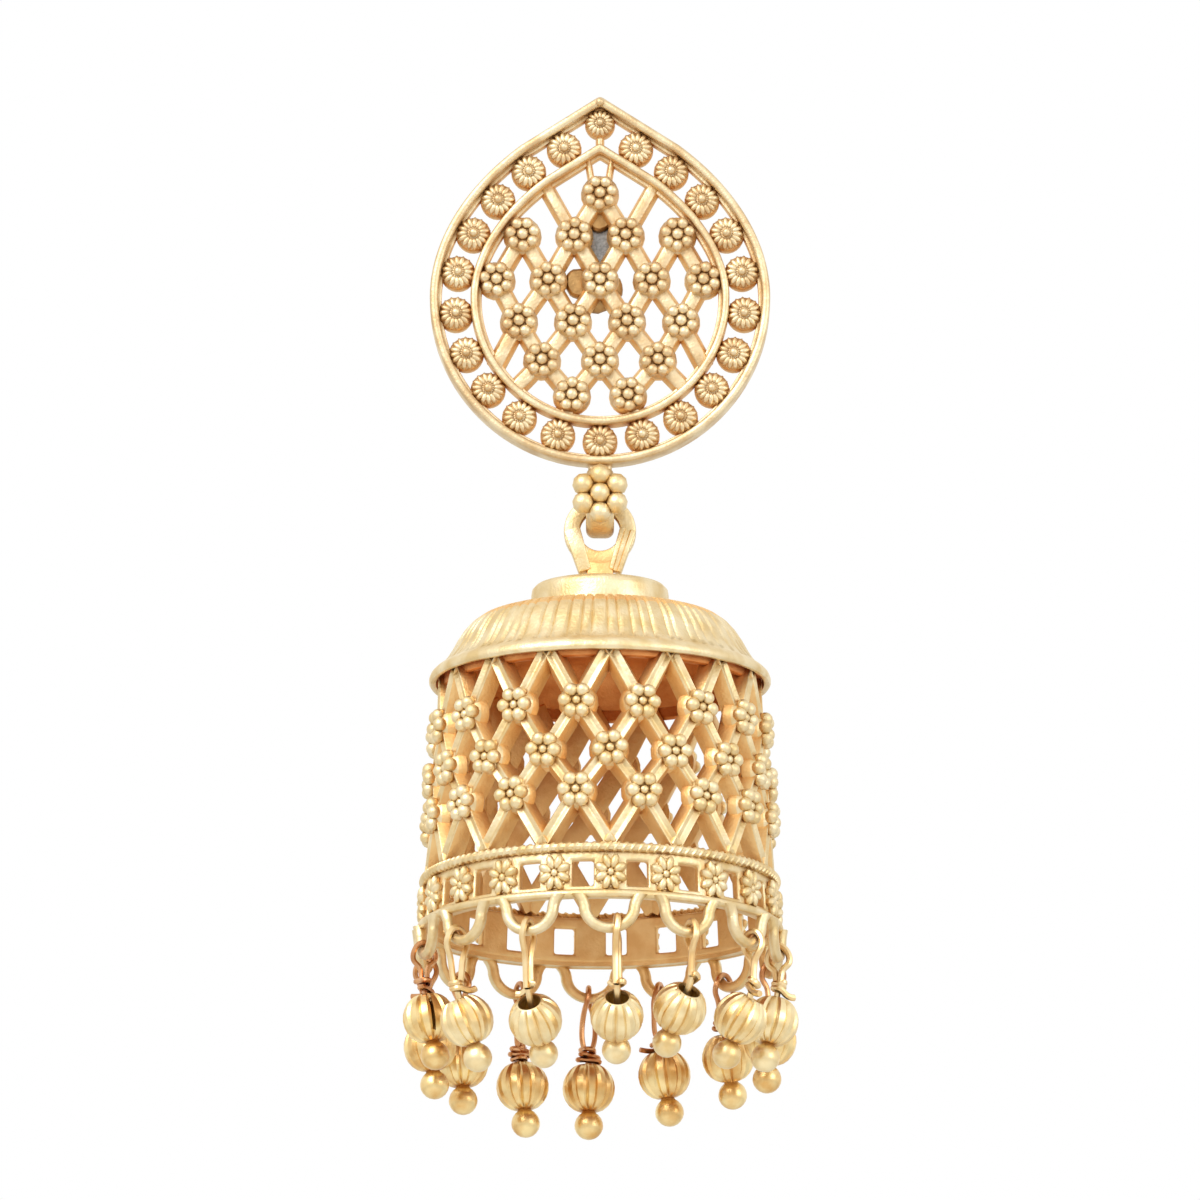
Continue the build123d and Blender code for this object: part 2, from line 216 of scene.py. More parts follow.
@dataclass(frozen=True)
class BareSteel:
    """Drawn steel, left bare: grey, with fine lines along the wire from the drawing die."""

    name: str = "drawn_steel"
    light: str = "#B8B4AE"
    dark: str = "#3E3B39"
    roughness: float = 0.34
    line_mm: float = 0.16  # drawing lines; coarser than the real 0.02 mm so that they show
    line_depth_mm: float = 0.006

    def make(self) -> Material:
        """Builds the material.

        Returns:
            The material.
        """
        material, tree, place = new_material(self.name)
        along = add_node(tree, "Mapping", {"Vector": place, "Scale": (1.0, 0.05, 1.0)}).outputs[0]
        drawn = {"Vector": along, "Scale": 1 / (self.line_mm * MM), "Detail": 2.0}
        lines = add_node(tree, "TexNoise", drawn).outputs[0]
        greys = {0: lines, 6: linear(self.dark), 7: linear(self.light)}
        colour = add_node(tree, "Mix", greys, data_type="RGBA")
        relief = {"Height": lines, "Distance": self.line_depth_mm * MM, "Strength": 0.5}
        finish_metal(tree, colour.outputs[2], self.roughness, relief)
        return material


def finish_metal(tree: Tree, colour: Socket, roughness: Socket | float, relief: dict) -> None:
    """Ends a metal's tree with its relief, its shader and its output.

    Args:
        tree: The tree.
        colour: Its colour.
        roughness: Its roughness, or the output that varies it.
        relief: The inputs of the bump.
    """
    bump = add_node(tree, "Bump", relief).outputs[0]
    surface = {"Base Color": colour, "Metallic": 1.0, "Roughness": roughness, "Normal": bump}
    add_node(tree, "OutputMaterial", {"Surface": add_node(tree, "BsdfPrincipled", surface).outputs[0]})


class Finish(Enum):
    """The earring's finishes. A plate's three colours are for bright places, thin places and crevices; the
    colour of the crevices is tarnish and painted shade.
    """

    # Sand-cast brass, matte gold plate: a pale, even skin with a soft sheen.
    CAST = GoldPlate("cast_brass_matte_gold_plate")
    # The same plate, antiqued, on the ear plate: greyer, and browner in the crevices from tarnish and painted
    # shade.
    ANTIQUED = GoldPlate("cast_brass_antiqued_gold_plate", "#E9D6B0", "#D3B588", "#B08853")
    # Painted shade on cast flanks, hollows and inward faces: duller, and coppery like gold in its own shade.
    UNPOLISHED = GoldPlate(
        "cast_brass_coppery_painted_shade", "#F0CC90", "#E6BA7C", "#CA945C", roughness=0.52, crevice_mm=0.6
    )
    # Painted shade inside the cap and under its lip: orange, like new copper in the shade.
    BARE = GoldPlate("cast_brass_inside_painted_shade", "#E09A5C", "#CA7F46", "#A05A2A", 0.5)
    # Brass solder, left as it ran; its dull brown paints the shade behind the flowers.
    SOLDER = GoldPlate("brass_solder_painted_shade", "#B48E5C", "#8E6A40", "#54381F", 0.5)
    # Beads of pressed sheet, satin plate: smoother and shinier than the castings.
    BEAD = GoldPlate(
        "pressed_brass_satin_gold_plate", "#F8E4B4", "#E6C68A", "#A4662E",
        roughness=0.36, grain_mm=0.25, grain_depth_mm=0.012, crevice_mm=0.9,
    )
    # The same beads with the plate worn: deeper gold, and brown between the ribs from tarnish and painted
    # shade.
    WORN_BEAD = GoldPlate(
        "pressed_brass_worn_gold_plate", "#F6DCA0", "#DEB06C", "#9C5826",
        roughness=0.32, grain_mm=0.25, grain_depth_mm=0.012, crevice_mm=1.0,
    )
    # Drawn wire, plated: smooth pale gold.
    WIRE = GoldPlate("drawn_wire_gold_plate", "#F5DDAC", "#E8C184", roughness=0.34, grain_depth_mm=0.004)
    # Drawn wire with its plate rubbed away: smooth pink copper.
    WORN_WIRE = GoldPlate(
        "drawn_wire_worn_to_copper", "#DCA878", "#BC7E50", "#84442A", roughness=0.28, grain_depth_mm=0.004
    )
    STEEL = BareSteel()

    @property
    def material(self) -> Material:
        """The finish's material, made when it is first asked for."""
        return bpy.data.materials.get(self.value.name) or self.value.make()


class Slot(Enum):
    """The record's material slots, passed along with new pieces but not given to them."""

    CAST_GOLD = "cast_gold"
    BEAD_GOLD = "bead_gold"
    COPPER_WIRE = "copper_wire"


class Body(Enum):
    """The frame's bodies."""

    STUD = "stud"
    JHUMKA = "jhumka"


# ------------------------------------------------------------------------------------------------ bench


def polar(azimuth_deg: float) -> Matrix:
    """A turn about Z that takes -Y towards +X."""
    return Matrix.Rotation(math.radians(azimuth_deg), 4, "Z")


def standing() -> Matrix:
    """Stands a piece drawn flat in XY up in XZ, its top side towards -Y."""
    return Matrix.Rotation(math.pi / 2, 4, "X")


def shift(x: float, y: float, z: float) -> Matrix:
    """A move in millimetres."""
    return Matrix.Translation((x, y, z))


ON_AXIS = shift(0, AXIS_Y, 0)


def between(start: Vector, end: Vector) -> Matrix:
    """Lays a piece drawn along X about its middle from one point in XY to another."""
    run, middle = end - start, (start + end) / 2
    return shift(middle.x, middle.y, 0) @ Matrix.Rotation(math.atan2(run.y, run.x), 4, "Z")


class Bench:
    """The modelling bench: each method is one step of work on a mesh, as done by hand."""

    @staticmethod
    def clear() -> None:
        """Leaves edit mode with nothing selected."""
        if bpy.context.object and bpy.context.object.mode != "OBJECT":
            bpy.ops.object.mode_set(mode="OBJECT")
        bpy.ops.object.select_all(action="DESELECT")

    @staticmethod
    def take(*pieces: Object) -> None:
        """Selects only these pieces, the first of them active.

        Args:
            *pieces: The pieces.
        """
        Bench.clear()
        for piece in pieces:
            piece.select_set(True)
        bpy.context.view_layer.objects.active = pieces[0]

    @staticmethod
    @contextmanager
    def edit(piece: Object) -> Iterator[None]:
        """Opens a piece in edit mode, all of it selected, and closes it again.

        Args:
            piece: The piece.

        Yields:
            Nothing, while the piece is open.
        """
        Bench.take(piece)
        bpy.ops.object.mode_set(mode="EDIT")
        bpy.ops.mesh.select_mode(type="VERT")
        bpy.ops.mesh.select_all(action="SELECT")
        yield
        bpy.ops.object.mode_set(mode="OBJECT")

    @staticmethod
    def pick(test: Callable[[Vector], bool]) -> None:
        """Selects the open piece's vertices whose place passes a test.

        Args:
            test: Says of a vertex's place whether it is wanted.
        """
        bpy.ops.mesh.select_mode(type="VERT")
        bpy.ops.mesh.select_all(action="DESELECT")
        mesh = bmesh.from_edit_mesh(bpy.context.object.data)
        for vertex in mesh.verts:
            vertex.select = test(vertex.co)
        mesh.select_flush(True)
        bmesh.update_edit_mesh(bpy.context.object.data)

    @staticmethod
    def pick_faces(test: Callable[[Vector, Vector], bool]) -> None:
        """Selects the open piece's faces that pass a test.

        Args:
            test: Says of a face's centre and normal whether it is wanted.
        """
        bpy.ops.mesh.select_mode(type="FACE")
        bpy.ops.mesh.select_all(action="DESELECT")
        mesh = bmesh.from_edit_mesh(bpy.context.object.data)
        for face in mesh.faces:
            face.select = test(face.calc_center_median(), face.normal)
        bmesh.update_edit_mesh(bpy.context.object.data)

    @staticmethod
    def scale(x: float, y: float, z: float, centre: Sequence[float] = (0, 0, 0)) -> None:
        """Scales what is selected in the open piece about a point."""
        bpy.ops.transform.resize(value=(x, y, z), center_override=tuple(centre))

    @staticmethod
    def settle(piece: Object) -> Object:
        """Puts the piece's place, turn and scale into its mesh.

        Args:
            piece: The piece.

        Returns:
            The same piece.
        """
        Bench.take(piece)
        bpy.ops.object.transform_apply(location=True, rotation=True, scale=True)
        return piece

    @staticmethod
    def put(piece: Object, place: Matrix) -> Object:
        """Moves the piece's mesh by a matrix and returns the piece."""
        piece.matrix_world = place @ piece.matrix_world
        return Bench.settle(piece)

    @staticmethod
    def copies(piece: Object, places: Iterable[Matrix]) -> list[Object]:
        """Copies a modelled piece to each place, every copy with its own mesh, and drops the first one.

        Args:
            piece: The piece.
            places: Where the copies go.

        Returns:
            The copies.
        """
        made = []
        for place in places:
            copy = piece.copy()
            copy.data = piece.data.copy()
            copy.matrix_world = place @ piece.matrix_world
            bpy.context.collection.objects.link(copy)
            made.append(copy)
        bpy.data.objects.remove(piece)
        return made

    @staticmethod
    def around(piece: Object, count: int, place: Matrix, phase_deg: float = 0.0) -> list[Object]:
        """Copies a piece to a place and to the places evenly round Z from it.

        Args:
            piece: The piece.
            count: How many copies there are.
            place: Where the first one would be with no phase.
            phase_deg: How far the first one is turned round Z.

        Returns:
            The copies.
        """
        return Bench.copies(piece, [polar(phase_deg + i * 360 / count) @ place for i in range(count)])

    @staticmethod
    def join(pieces: Sequence[Object]) -> Object:
        """Joins pieces into the first one and puts its place into its mesh.

        Args:
            pieces: The pieces.

        Returns:
            The joined piece.
        """
        Bench.take(*pieces)
        if len(pieces) > 1:
            bpy.ops.object.join()
        return Bench.settle(pieces[0])

    @staticmethod
    def apply(piece: Object, kind: str, **settings: object) -> Object:
        """Adds a modifier and applies it.

        Args:
            piece: The piece to work on.
            kind: The modifier's type.
            **settings: The modifier's settings.

        Returns:
            The same piece.
        """
        Bench.take(piece)
        modifier = piece.modifiers.new(kind.lower(), kind)
        for name, value in settings.items():
            setattr(modifier, name, value)
        bpy.ops.object.modifier_apply(modifier=modifier.name)
        return piece

    @staticmethod
    def bevel(piece: Object, width: float, segments: int, sharp_deg: float = 50.0) -> Object:
        """Rounds the edges that are sharper than an angle and returns the piece."""
        limit = {"limit_method": "ANGLE", "angle_limit": math.radians(sharp_deg)}
        return Bench.apply(piece, "BEVEL", width=width, segments=segments, **limit)

    @staticmethod
    def face_out(piece: Object) -> Object:
        """Merges doubles and turns every face outwards.

        Args:
            piece: The piece.

        Returns:
            The same piece.
        """
        with Bench.edit(piece):
            bpy.ops.mesh.remove_doubles(threshold=0.0005)
            bpy.ops.mesh.normals_make_consistent(inside=False)
        return piece

    @staticmethod
    def block(size: Sequence[float], centre: Sequence[float] = (0, 0, 0)) -> Object:
        """A block to work from, with its sides along the axes.

        Args:
            size: Its three sides.
            centre: Its middle.

        Returns:
            The block.
        """
        Bench.clear()
        bpy.ops.mesh.primitive_cube_add(size=1, location=tuple(centre))
        bpy.context.object.scale = size
        return Bench.settle(bpy.context.object)

    @staticmethod
    def washer(outer: float, inner: float, depth: float, sides: int) -> Object:
        """A flat ring about Z, made from a disc by insetting its two ends and bridging them.

        Args:
            outer: Its outer radius.
            inner: Its inner radius.
            depth: Its depth along Z.
            sides: Steps round it.

        Returns:
            The ring.
        """
        Bench.clear()
        bpy.ops.mesh.primitive_cylinder_add(vertices=sides, radius=outer, depth=depth, end_fill_type="NGON")
        piece = bpy.context.object
        with Bench.edit(piece):
            Bench.pick_faces(lambda centre, normal: abs(normal.z) > 0.9)
            bpy.ops.mesh.inset(thickness=outer - inner, use_even_offset=True)
            bpy.ops.mesh.bridge_edge_loops()
        return piece

    @staticmethod
    def wire_ring(radius: float, wire_r: float, steps: int, sides: int, height: float = 0.0) -> Object:
        """A ring of round wire about Z.

        Args:
            radius: Radius of the wire's line.
            wire_r: The wire's own radius.
            steps: Steps round the ring.
            sides: Sides of the wire.
            height: The ring's height.

        Returns:
            The ring.
        """
        Bench.clear()
        bpy.ops.mesh.primitive_torus_add(
            major_radius=radius, minor_radius=wire_r, major_segments=steps, minor_segments=sides,
            location=(0, 0, height),
        )
        return Bench.settle(bpy.context.object)

    @staticmethod
    def turn(profile: Sequence[Point], segments: int, closed: bool = True) -> Object:
        """Turns a profile about Z, loop after loop, as on a lathe.

        Args:
            profile: Radius and height of each loop; radii are above zero.
            segments: Steps round the axis.
            closed: Whether the first and the last loop get a lid.

        Returns:
            The turned piece, its faces outwards.
        """
        Bench.clear()
        radius, height = profile[0]
        fill = "NGON" if closed else "NOTHING"
        bpy.ops.mesh.primitive_circle_add(
            vertices=segments, radius=radius, location=(0, 0, height), fill_type=fill
        )
        piece = Bench.settle(bpy.context.object)
        with Bench.edit(piece):
            if closed:
                bpy.ops.mesh.poke()
                Bench.pick(lambda co: math.hypot(co.x, co.y) > radius / 2)
                bpy.ops.mesh.select_mode(type="EDGE")
            for (start_r, start), (end_r, end) in zip(profile, profile[1:]):
                bpy.ops.mesh.extrude_edges_move(TRANSFORM_OT_translate={"value": (0, 0, end - start)})
                Bench.scale(end_r / start_r, end_r / start_r, 1, (0, 0, end))
            if closed:
                bpy.ops.mesh.edge_face_add()
                bpy.ops.mesh.poke()
            bpy.ops.mesh.select_all(action="SELECT")
            bpy.ops.mesh.normals_make_consistent(inside=False)
        return piece

    @staticmethod
    def hoop(section: Sequence[Point], segments: int) -> Object:
        """Turns a closed section about Z.

        Args:
            section: Radius and height of the section's corners, in order.
            segments: Steps round the axis.

        Returns:
            The closed hoop.
        """
        piece = Bench.turn(section, segments, closed=False)
        with Bench.edit(piece):
            bpy.ops.mesh.select_all(action="DESELECT")
            bpy.ops.mesh.select_mode(type="EDGE")
            bpy.ops.mesh.select_non_manifold()
            bpy.ops.mesh.bridge_edge_loops()
        return Bench.face_out(piece)

    @staticmethod
    def grain(radius: float, segments: int = 10, rings: int = 7) -> Object:
        """A small cast grain: a ball with its foot cut flat, where it sits in the metal.

        Args:
            radius: The ball's radius.
            segments: Steps round it.
            rings: Steps from pole to pole.

        Returns:
            The grain.
        """
        Bench.clear()
        bpy.ops.mesh.primitive_uv_sphere_add(segments=segments, ring_count=rings, radius=radius)
        piece = bpy.context.object
        cut = {"use_fill": True, "clear_inner": True, "threshold": 1e-5}
        with Bench.edit(piece):
            bpy.ops.mesh.bisect(plane_co=(0, 0, -0.8 * radius), plane_no=(0, 0, 1), **cut)
        return piece

    @staticmethod
    def petal(radius: float, x: float, y: float, z: float) -> Object:
        """A coarse grain drawn out to x, y and z times its radius, for what repeats very often."""
        return Bench.put(Bench.grain(radius, 8, 6), Matrix.Diagonal((x, y, z, 1)))

    @staticmethod
    def wire(points: Sequence[Vector], radius: float, steps: int = 6) -> Object:
        """Bends a wire of one thickness along a smooth line.

        Args:
            points: The line's control points.
            radius: The wire's radius.
            steps: Sections between two control points.

        Returns:
            The wire as a closed mesh.
        """
        Bench.clear()
        bpy.ops.curve.primitive_nurbs_path_add(location=(0, 0, 0))
        curve = bpy.context.object
        curve.data.splines.clear()
        spline = curve.data.splines.new("NURBS")
        spline.points.add(len(points) - 1)
        for target, point in zip(spline.points, points):
            target.co = (*point, 1)
        spline.order_u = 4
        spline.use_endpoint_u = True
        curve.data.resolution_u = steps
        curve.data.bevel_depth = radius
        curve.data.bevel_resolution = 2
        curve.data.use_fill_caps = True
        curve.data.twist_mode = "MINIMUM"
        Bench.take(curve)
        bpy.ops.object.convert(target="MESH")
        return Bench.face_out(bpy.context.object)

    @staticmethod
    def release(piece: Object, name: str, body: Body, slot: Slot, finish: Finish, node: str) -> Object:
        """Finishes a piece: metres, smooth shading, finish, name, body and the solid that it stands for.

        Args:
            piece: The piece, in millimetres, with its place in its mesh.
            name: Its plain name.
            body: The frame's body that carries it.
            slot: The record's slot that its finish belongs to; not used.
            finish: Its finish.
            node: The frame's solid that it replaces.

        Returns:
            The finished piece.
        """
        Bench.put(piece, Matrix.Scale(MM, 4))
        bpy.ops.object.shade_smooth_by_angle(angle=math.radians(SMOOTH_DEG))
        piece.name = piece.data.name = name
        piece.data.materials.clear()
        piece.data.materials.append(finish.material)
        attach(piece, body.value)
        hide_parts(node)
        LOG.info("%s: %d faces", name, len(piece.data.polygons))
        return piece

    @staticmethod
    def tint(piece: Object, finish: Finish, test: FaceTest) -> None:
        """Gives one more finish to the faces that pass a test.

        Args:
            piece: The released piece, in metres.
            finish: The finish.
            test: Says of a face's middle, as x, y and z in millimetres, and its normal if it is wanted.
        """
        piece.data.materials.append(finish.material)
        for face in piece.data.polygons:
            if test(*(c / MM for c in face.center), face.normal):
                face.material_index = len(piece.data.materials) - 1


BUD_BASE = ((0.75, -0.9), (1.0, -0.7), (0.9, 0.0))  # shares of the ring's radius and of a grain's radius


@dataclass(frozen=True)
class GrainFlower:
    """A flower of cast grains round a middle one, lying in XY on its own small base.

    Attributes:
        ring_r: Radius of the ring of grains.
        grain_r: Radius of one grain.
        count: Grains in the ring.
        eye_r: Radius of the middle grain.
        eye_height: Height of its centre over the others'.
    """

    ring_r: float
    grain_r: float
    count: int
    eye_r: float
    eye_height: float

    def make(self) -> Object:
        """Builds the flower.

        Returns:
            The joined flower.
        """
        ring = Bench.around(Bench.grain(self.grain_r), self.count, shift(0, self.ring_r, 0))
        eye = Bench.grain(self.eye_r)
        eye.location.z = self.eye_height
        base = Bench.turn([(r * self.ring_r, height * self.grain_r) for r, height in BUD_BASE], 14)
        return Bench.join([*ring, eye, base])


# -------------------------------------------------------------------------------------------- ear plate


@dataclass(frozen=True)
class Band:
    """A band that follows the plate's outline.

    Attributes:
        inset: Distance of its outer edge inside the outline.
        width: Its width.
        back: Height of its back over the plate's back.
        front: Height of its front.
        rounding: Radius of its rounded edges.
    """

    inset: float
    width: float
    back: float
    front: float
    rounding: float


@dataclass
class EarPlate:
    """The pierced teardrop plate, with the flower and the loop under it.

    Drawn flat: x to the right, y up from the centre of the round part, z from the back towards the viewer.
    """

    back_y: float = -0.55
    apex: float = 11.95
    tip_handle: Point = (1.5, 0.97)  # the curve handles beside the apex
    shoulder: Point = (4.5, 9.05)
    shoulder_slope: Point = (0.80, -0.60)
    side_handle: float = 3.58  # length of the curve handles along the plate's sides
    widest: float = 0.1
    round_r: float = 9.7
    rim: Band = Band(0.0, 0.47, 0.0, 1.45, 0.2)
    rim_step: Band = Band(0.4, 0.27, 0.06, 0.8, 0.07)
    frame: Band = Band(2.32, 0.42, 0.0, 1.35, 0.17)
    frame_ledge: Band = Band(2.69, 0.26, 0.06, 0.7, 0.06)
    rosette_count: int = 22
    rosette_inset: float = 1.43
    rosette_r: float = 1.0
    rosette_turn: float = 37.0  # each rosette is turned this much further than the last
    rosette_base: tuple[Point, ...] = (  # share of the rosette's radius, and height
        (0.96, 0.04), (1.0, 0.3), (1.0, 0.62), (0.93, 0.86), (0.7, 1.02), (0.4, 1.1),
    )
    petal_count: int = 15
    petal_slope: float = 17.0  # degrees that the petals fall towards the rosette's edge
    rows: tuple[tuple[float, int, float], ...] = (  # height, number and pitch of each row of flowers
        (6.3, 1, 3.0),
        (3.85, 4, 2.95),
        (1.22, 5, 2.95),
        (-1.22, 4, 3.08),
        (-3.5, 3, 3.3),
        (-5.55, 2, 3.2),
    )
    flower: GrainFlower = GrainFlower(ring_r=0.69, grain_r=0.365, count=7, eye_r=0.37, eye_height=0.02)
    flower_foot: tuple[Point, ...] = ((0.98, 0.02), (1.1, 0.3), (1.08, 0.68), (0.84, 0.95))
    strut_reach: float = 3.2  # flowers of neighbouring rows no further apart than this are joined
    strut_width: float = 1.12
    top_tie_width: float = 0.95
    tip_tie_width: float = 0.42
    leaning_row: int = 3  # this row's end flowers are tied to the frame lower down
    lean: float = 7.7  # added to their ties' downward run
    solder_and_shadow_spots: tuple[tuple[float, float, float], ...] = (  # x, y and radius
        (-0.1, 0.85, 1.32),
        (-1.15, 1.2, 0.85),
        # This spot is painted shadow: a dark patch in the hole between the post's pad and the top flower.
        (0.0, 5.0, 0.75),
    )
    solder_section: tuple[Point, ...] = ((0.75, -0.29), (1.0, -0.1), (0.97, 0.15), (0.8, 0.28))
    loop_r: float = 1.47
    loop_half_thickness: float = 0.55
    loop_half_width: float = 0.8
    neck_width: float = 1.1
    neck_flare: float = 1.35
    joint_flower: GrainFlower = GrainFlower(ring_r=1.08, grain_r=0.65, count=6, eye_r=0.62, eye_height=0.16)

    def __post_init__(self) -> None:
        """Takes the plate's height from the frame."""
        self.centre_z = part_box("ear_plate")[1].z / MM - self.apex
        self.place = shift(0, self.back_y, self.centre_z) @ standing()

    def outline(self) -> Object:
        """Draws the plate's outline in XY: a teardrop with six curve points.

        Returns:
            The outline as one face, which looks along +Z.
        """
        Bench.clear()
        bpy.ops.curve.primitive_bezier_circle_add(radius=self.round_r)
        curve = bpy.context.object
        points = curve.data.splines[0].bezier_points
        points.add(2)
        (tip_x, tip_y), (x, y), (slope_x, slope_y) = self.tip_handle, self.shoulder, self.shoulder_slope
        r, handle, quarter = self.round_r, self.side_handle, QUARTER_HANDLE * self.round_r
        left = [  # each point's place and its two handles
            ((-r, self.widest), (-r, self.widest - quarter), (-r, self.widest + handle)),
            ((-x, y), (-x - handle * slope_x, y + handle * slope_y), (tip_x - x, y + tip_y)),
        ]
        tip = ((0, self.apex), (-tip_x, self.apex - tip_y), (tip_x, self.apex - tip_y))
        right = [tuple((-px, py) for px, py in (at, after, before)) for at, before, after in reversed(left)]
        foot = ((0, -r), (quarter, -r), (-quarter, -r))
        for point, (at, before, after) in zip(points, [*left, tip, *right, foot]):
            point.handle_left_type = point.handle_right_type = "FREE"
            point.co, point.handle_left, point.handle_right = (*at, 0), (*before, 0), (*after, 0)
        curve.data.resolution_u = 26
        bpy.ops.object.convert(target="MESH")
        piece = bpy.context.object
        with Bench.edit(piece):
            bpy.ops.mesh.remove_doubles(threshold=0.001)
            bpy.ops.mesh.edge_face_add()
            bpy.ops.mesh.dissolve_limited(angle_limit=math.radians(1.0))
            bpy.ops.mesh.normals_make_consistent(inside=False)
        if piece.data.polygons[0].normal.z < 0:
            with Bench.edit(piece):
                bpy.ops.mesh.flip_normals()
        return piece

    def path(self, inset: float) -> list[Vector]:
        """Points along a line that runs inside the outline.

        Args:
            inset: Distance inside the outline.

        Returns:
            The points in order round the plate, from the apex, clockwise as the viewer sees them.
        """
        piece = self.outline()
        with Bench.edit(piece):
            bpy.ops.mesh.inset(thickness=inset, use_even_offset=True)
        inner = max(piece.data.polygons, key=lambda face: len(face.vertices))
        points = [piece.data.vertices[i].co.copy() for i in inner.vertices]
        bpy.data.objects.remove(piece)
        return sorted(points, key=lambda p: math.atan2(p.x, p.y) % math.tau)

    def band(self, band: Band) -> Object:
        """Makes a band that follows the outline.

        Args:
            band: Its place and section.

        Returns:
            The closed band.
        """
        piece = self.outline()
        with Bench.edit(piece):
            bpy.ops.mesh.select_mode(type="FACE")
            if band.inset > 0:
                bpy.ops.mesh.inset(thickness=band.inset, use_even_offset=True)
                bpy.ops.mesh.select_all(action="INVERT")
                bpy.ops.mesh.delete(type="FACE")
                bpy.ops.mesh.select_all(action="SELECT")
            bpy.ops.mesh.inset(thickness=band.width, use_even_offset=True)
            bpy.ops.mesh.delete(type="FACE")
            bpy.ops.mesh.select_all(action="SELECT")
            bpy.ops.transform.translate(value=(0, 0, band.back))
        Bench.apply(piece, "SOLIDIFY", thickness=band.front - band.back, offset=1.0)
        return Bench.bevel(piece, band.rounding, 3)

    def rosette(self) -> Object:
        """Makes a milled rosette: petals that slope from a ball in its middle down to a round base.

        Returns:
            The rosette.
        """
        r = self.rosette_r
        base = Bench.turn([(share * r, height) for share, height in self.rosette_base], 26)
        place = shift(0, 0.63 * r, 0.97) @ Matrix.Rotation(math.radians(-self.petal_slope), 4, "X")
        petals = Bench.around(Bench.petal(0.2, 0.9, 1.95, 0.95), self.petal_count, place)
        ball = Bench.grain(0.27)
        ball.location.z = 1.22
        return Bench.join([base, *petals, ball])

    def apex_rosette(self) -> Object:
        """Makes the smaller, worn rosette in the plate's tip, on a short stalk, with a little ball over it.

        Returns:
            The rosette.
        """
        boss = Bench.put(self.rosette(), Matrix.Diagonal((0.86, 0.82, 1, 1)))
        ball = Bench.grain(0.26)
        ball.location = (0, 1.14, 1.42)
        stalk = self.strut(Vector((0, -0.5)), Vector((0, -1.5)), 0.5)
        return Bench.join([boss, ball, stalk])

    def rosettes(self) -> Object:
        """Makes all rosettes, evenly spaced round the channel between the rim and the inner frame.

        Returns:
            The joined rosettes.
        """
        line = self.path(self.rosette_inset)
        lengths = [0.0]
        for a, b in zip(line, line[1:] + line[:1]):
            lengths.append(lengths[-1] + (b - a).length)
        places = []
        for i in range(1, self.rosette_count):
            target = lengths[-1] * i / self.rosette_count
            k = max(j for j, along in enumerate(lengths) if along <= target)
            share = (target - lengths[k]) / (lengths[k + 1] - lengths[k])
            spot = line[k].lerp(line[(k + 1) % len(line)], share)
            places.append(shift(spot.x, spot.y, 0) @ polar(self.rosette_turn * i))
        ring = Bench.copies(self.rosette(), places)
        tip = Bench.put(self.apex_rosette(), shift(0, line[0].y + 0.16, 0))
        return Bench.join([tip, *ring])

    def flower_rows(self) -> list[list[Vector]]:
        """The centres of the field's flowers, row by row from the top."""
        return [[Vector(((i - (n - 1) / 2) * pitch, y)) for i in range(n)] for y, n, pitch in self.rows]

    @staticmethod
    def strut(start: Vector, end: Vector, width: float) -> Object:
        """Makes a bar between two points, with sides that slope up to a blunt ridge.

        Args:
            start: One end.
            end: The other end.
            width: Its width at the plate's back.

        Returns:
            The bar.
        """
        piece = Bench.block(((end - start).length, width, 0.66), (0, 0, 0.45))
        with Bench.edit(piece):
            bpy.ops.mesh.bisect(plane_co=(0, 0, 0.3), plane_no=(0, 0, 1))
            Bench.pick(lambda co: co.z > 0.6)
            Bench.scale(1, 0.6, 1)
        return Bench.put(Bench.bevel(piece, 0.1, 2, 30), between(start, end))

    def tie(self, start: Vector, way: Vector, width: float, frame_line: list[Vector]) -> Object:
        """Makes a bar from a flower to the inner frame.

        Args:
            start: Where it starts.
            way: Its direction.
            width: Its width at the plate's back.
            frame_line: Points round the inner frame.

        Returns:
            The bar.
        """
        far = start + way.normalized() * 2 * self.round_r
        edges = zip(frame_line, frame_line[1:] + frame_line[:1])
        meets = [intersect_line_line_2d(start, far, a.xy, b.xy) for a, b in edges]
        end = min((meet for meet in meets if meet is not None), key=lambda meet: (meet - start).length)
        return self.strut(start, end, width)

    def field_struts(self) -> Object:
        """Makes the bars that tie the flowers to each other and to the inner frame.

        Returns:
            The joined bars.
        """
        rows, wide = self.flower_rows(), self.strut_width
        pairs = [(a, b) for upper, lower in zip(rows, rows[1:]) for a in upper for b in lower]
        bars = [self.strut(a, b, wide) for a, b in pairs if (a - b).length < self.strut_reach]
        ends, leaning = [c for row in rows[1:] for c in (row[0], row[-1])], rows[self.leaning_row]
        # The start, way and width of each tie: most point straight away from the plate's centre.
        ties = [(c, c - Vector((0, self.lean if c in leaning else 0)), wide) for c in ends]
        ties += [(c, Vector((0.9 * c.x, 2.4)), self.top_tie_width) for c in rows[1][1:3]]
        for side in (-1, 1):
            start, way = rows[0][0] + Vector((0.42 * side, 0.4)), Vector((0.16 * side, 1))
            ties.append((start, way, self.tip_tie_width))
        frame_line = self.path(self.frame.inset + self.frame.width / 2)
        return Bench.join(bars + [self.tie(*tie, frame_line) for tie in ties])

    def field_flowers(self) -> Object:
        """Makes the grain flowers that fill the plate, each turned by chance within one grain's pitch.

        Returns:
            The joined flowers.
        """
        rng = random.Random(11)
        bud = Bench.put(self.flower.make(), shift(0, 0, 1.0))
        whole = Bench.join([bud, Bench.turn(self.flower_foot, 18)])
        centres, pitch = [c for row in self.flower_rows() for c in row], 360 // self.flower.count
        return Bench.join(
            Bench.copies(whole, [shift(c.x, c.y, 0) @ polar(rng.uniform(0, pitch)) for c in centres])
        )

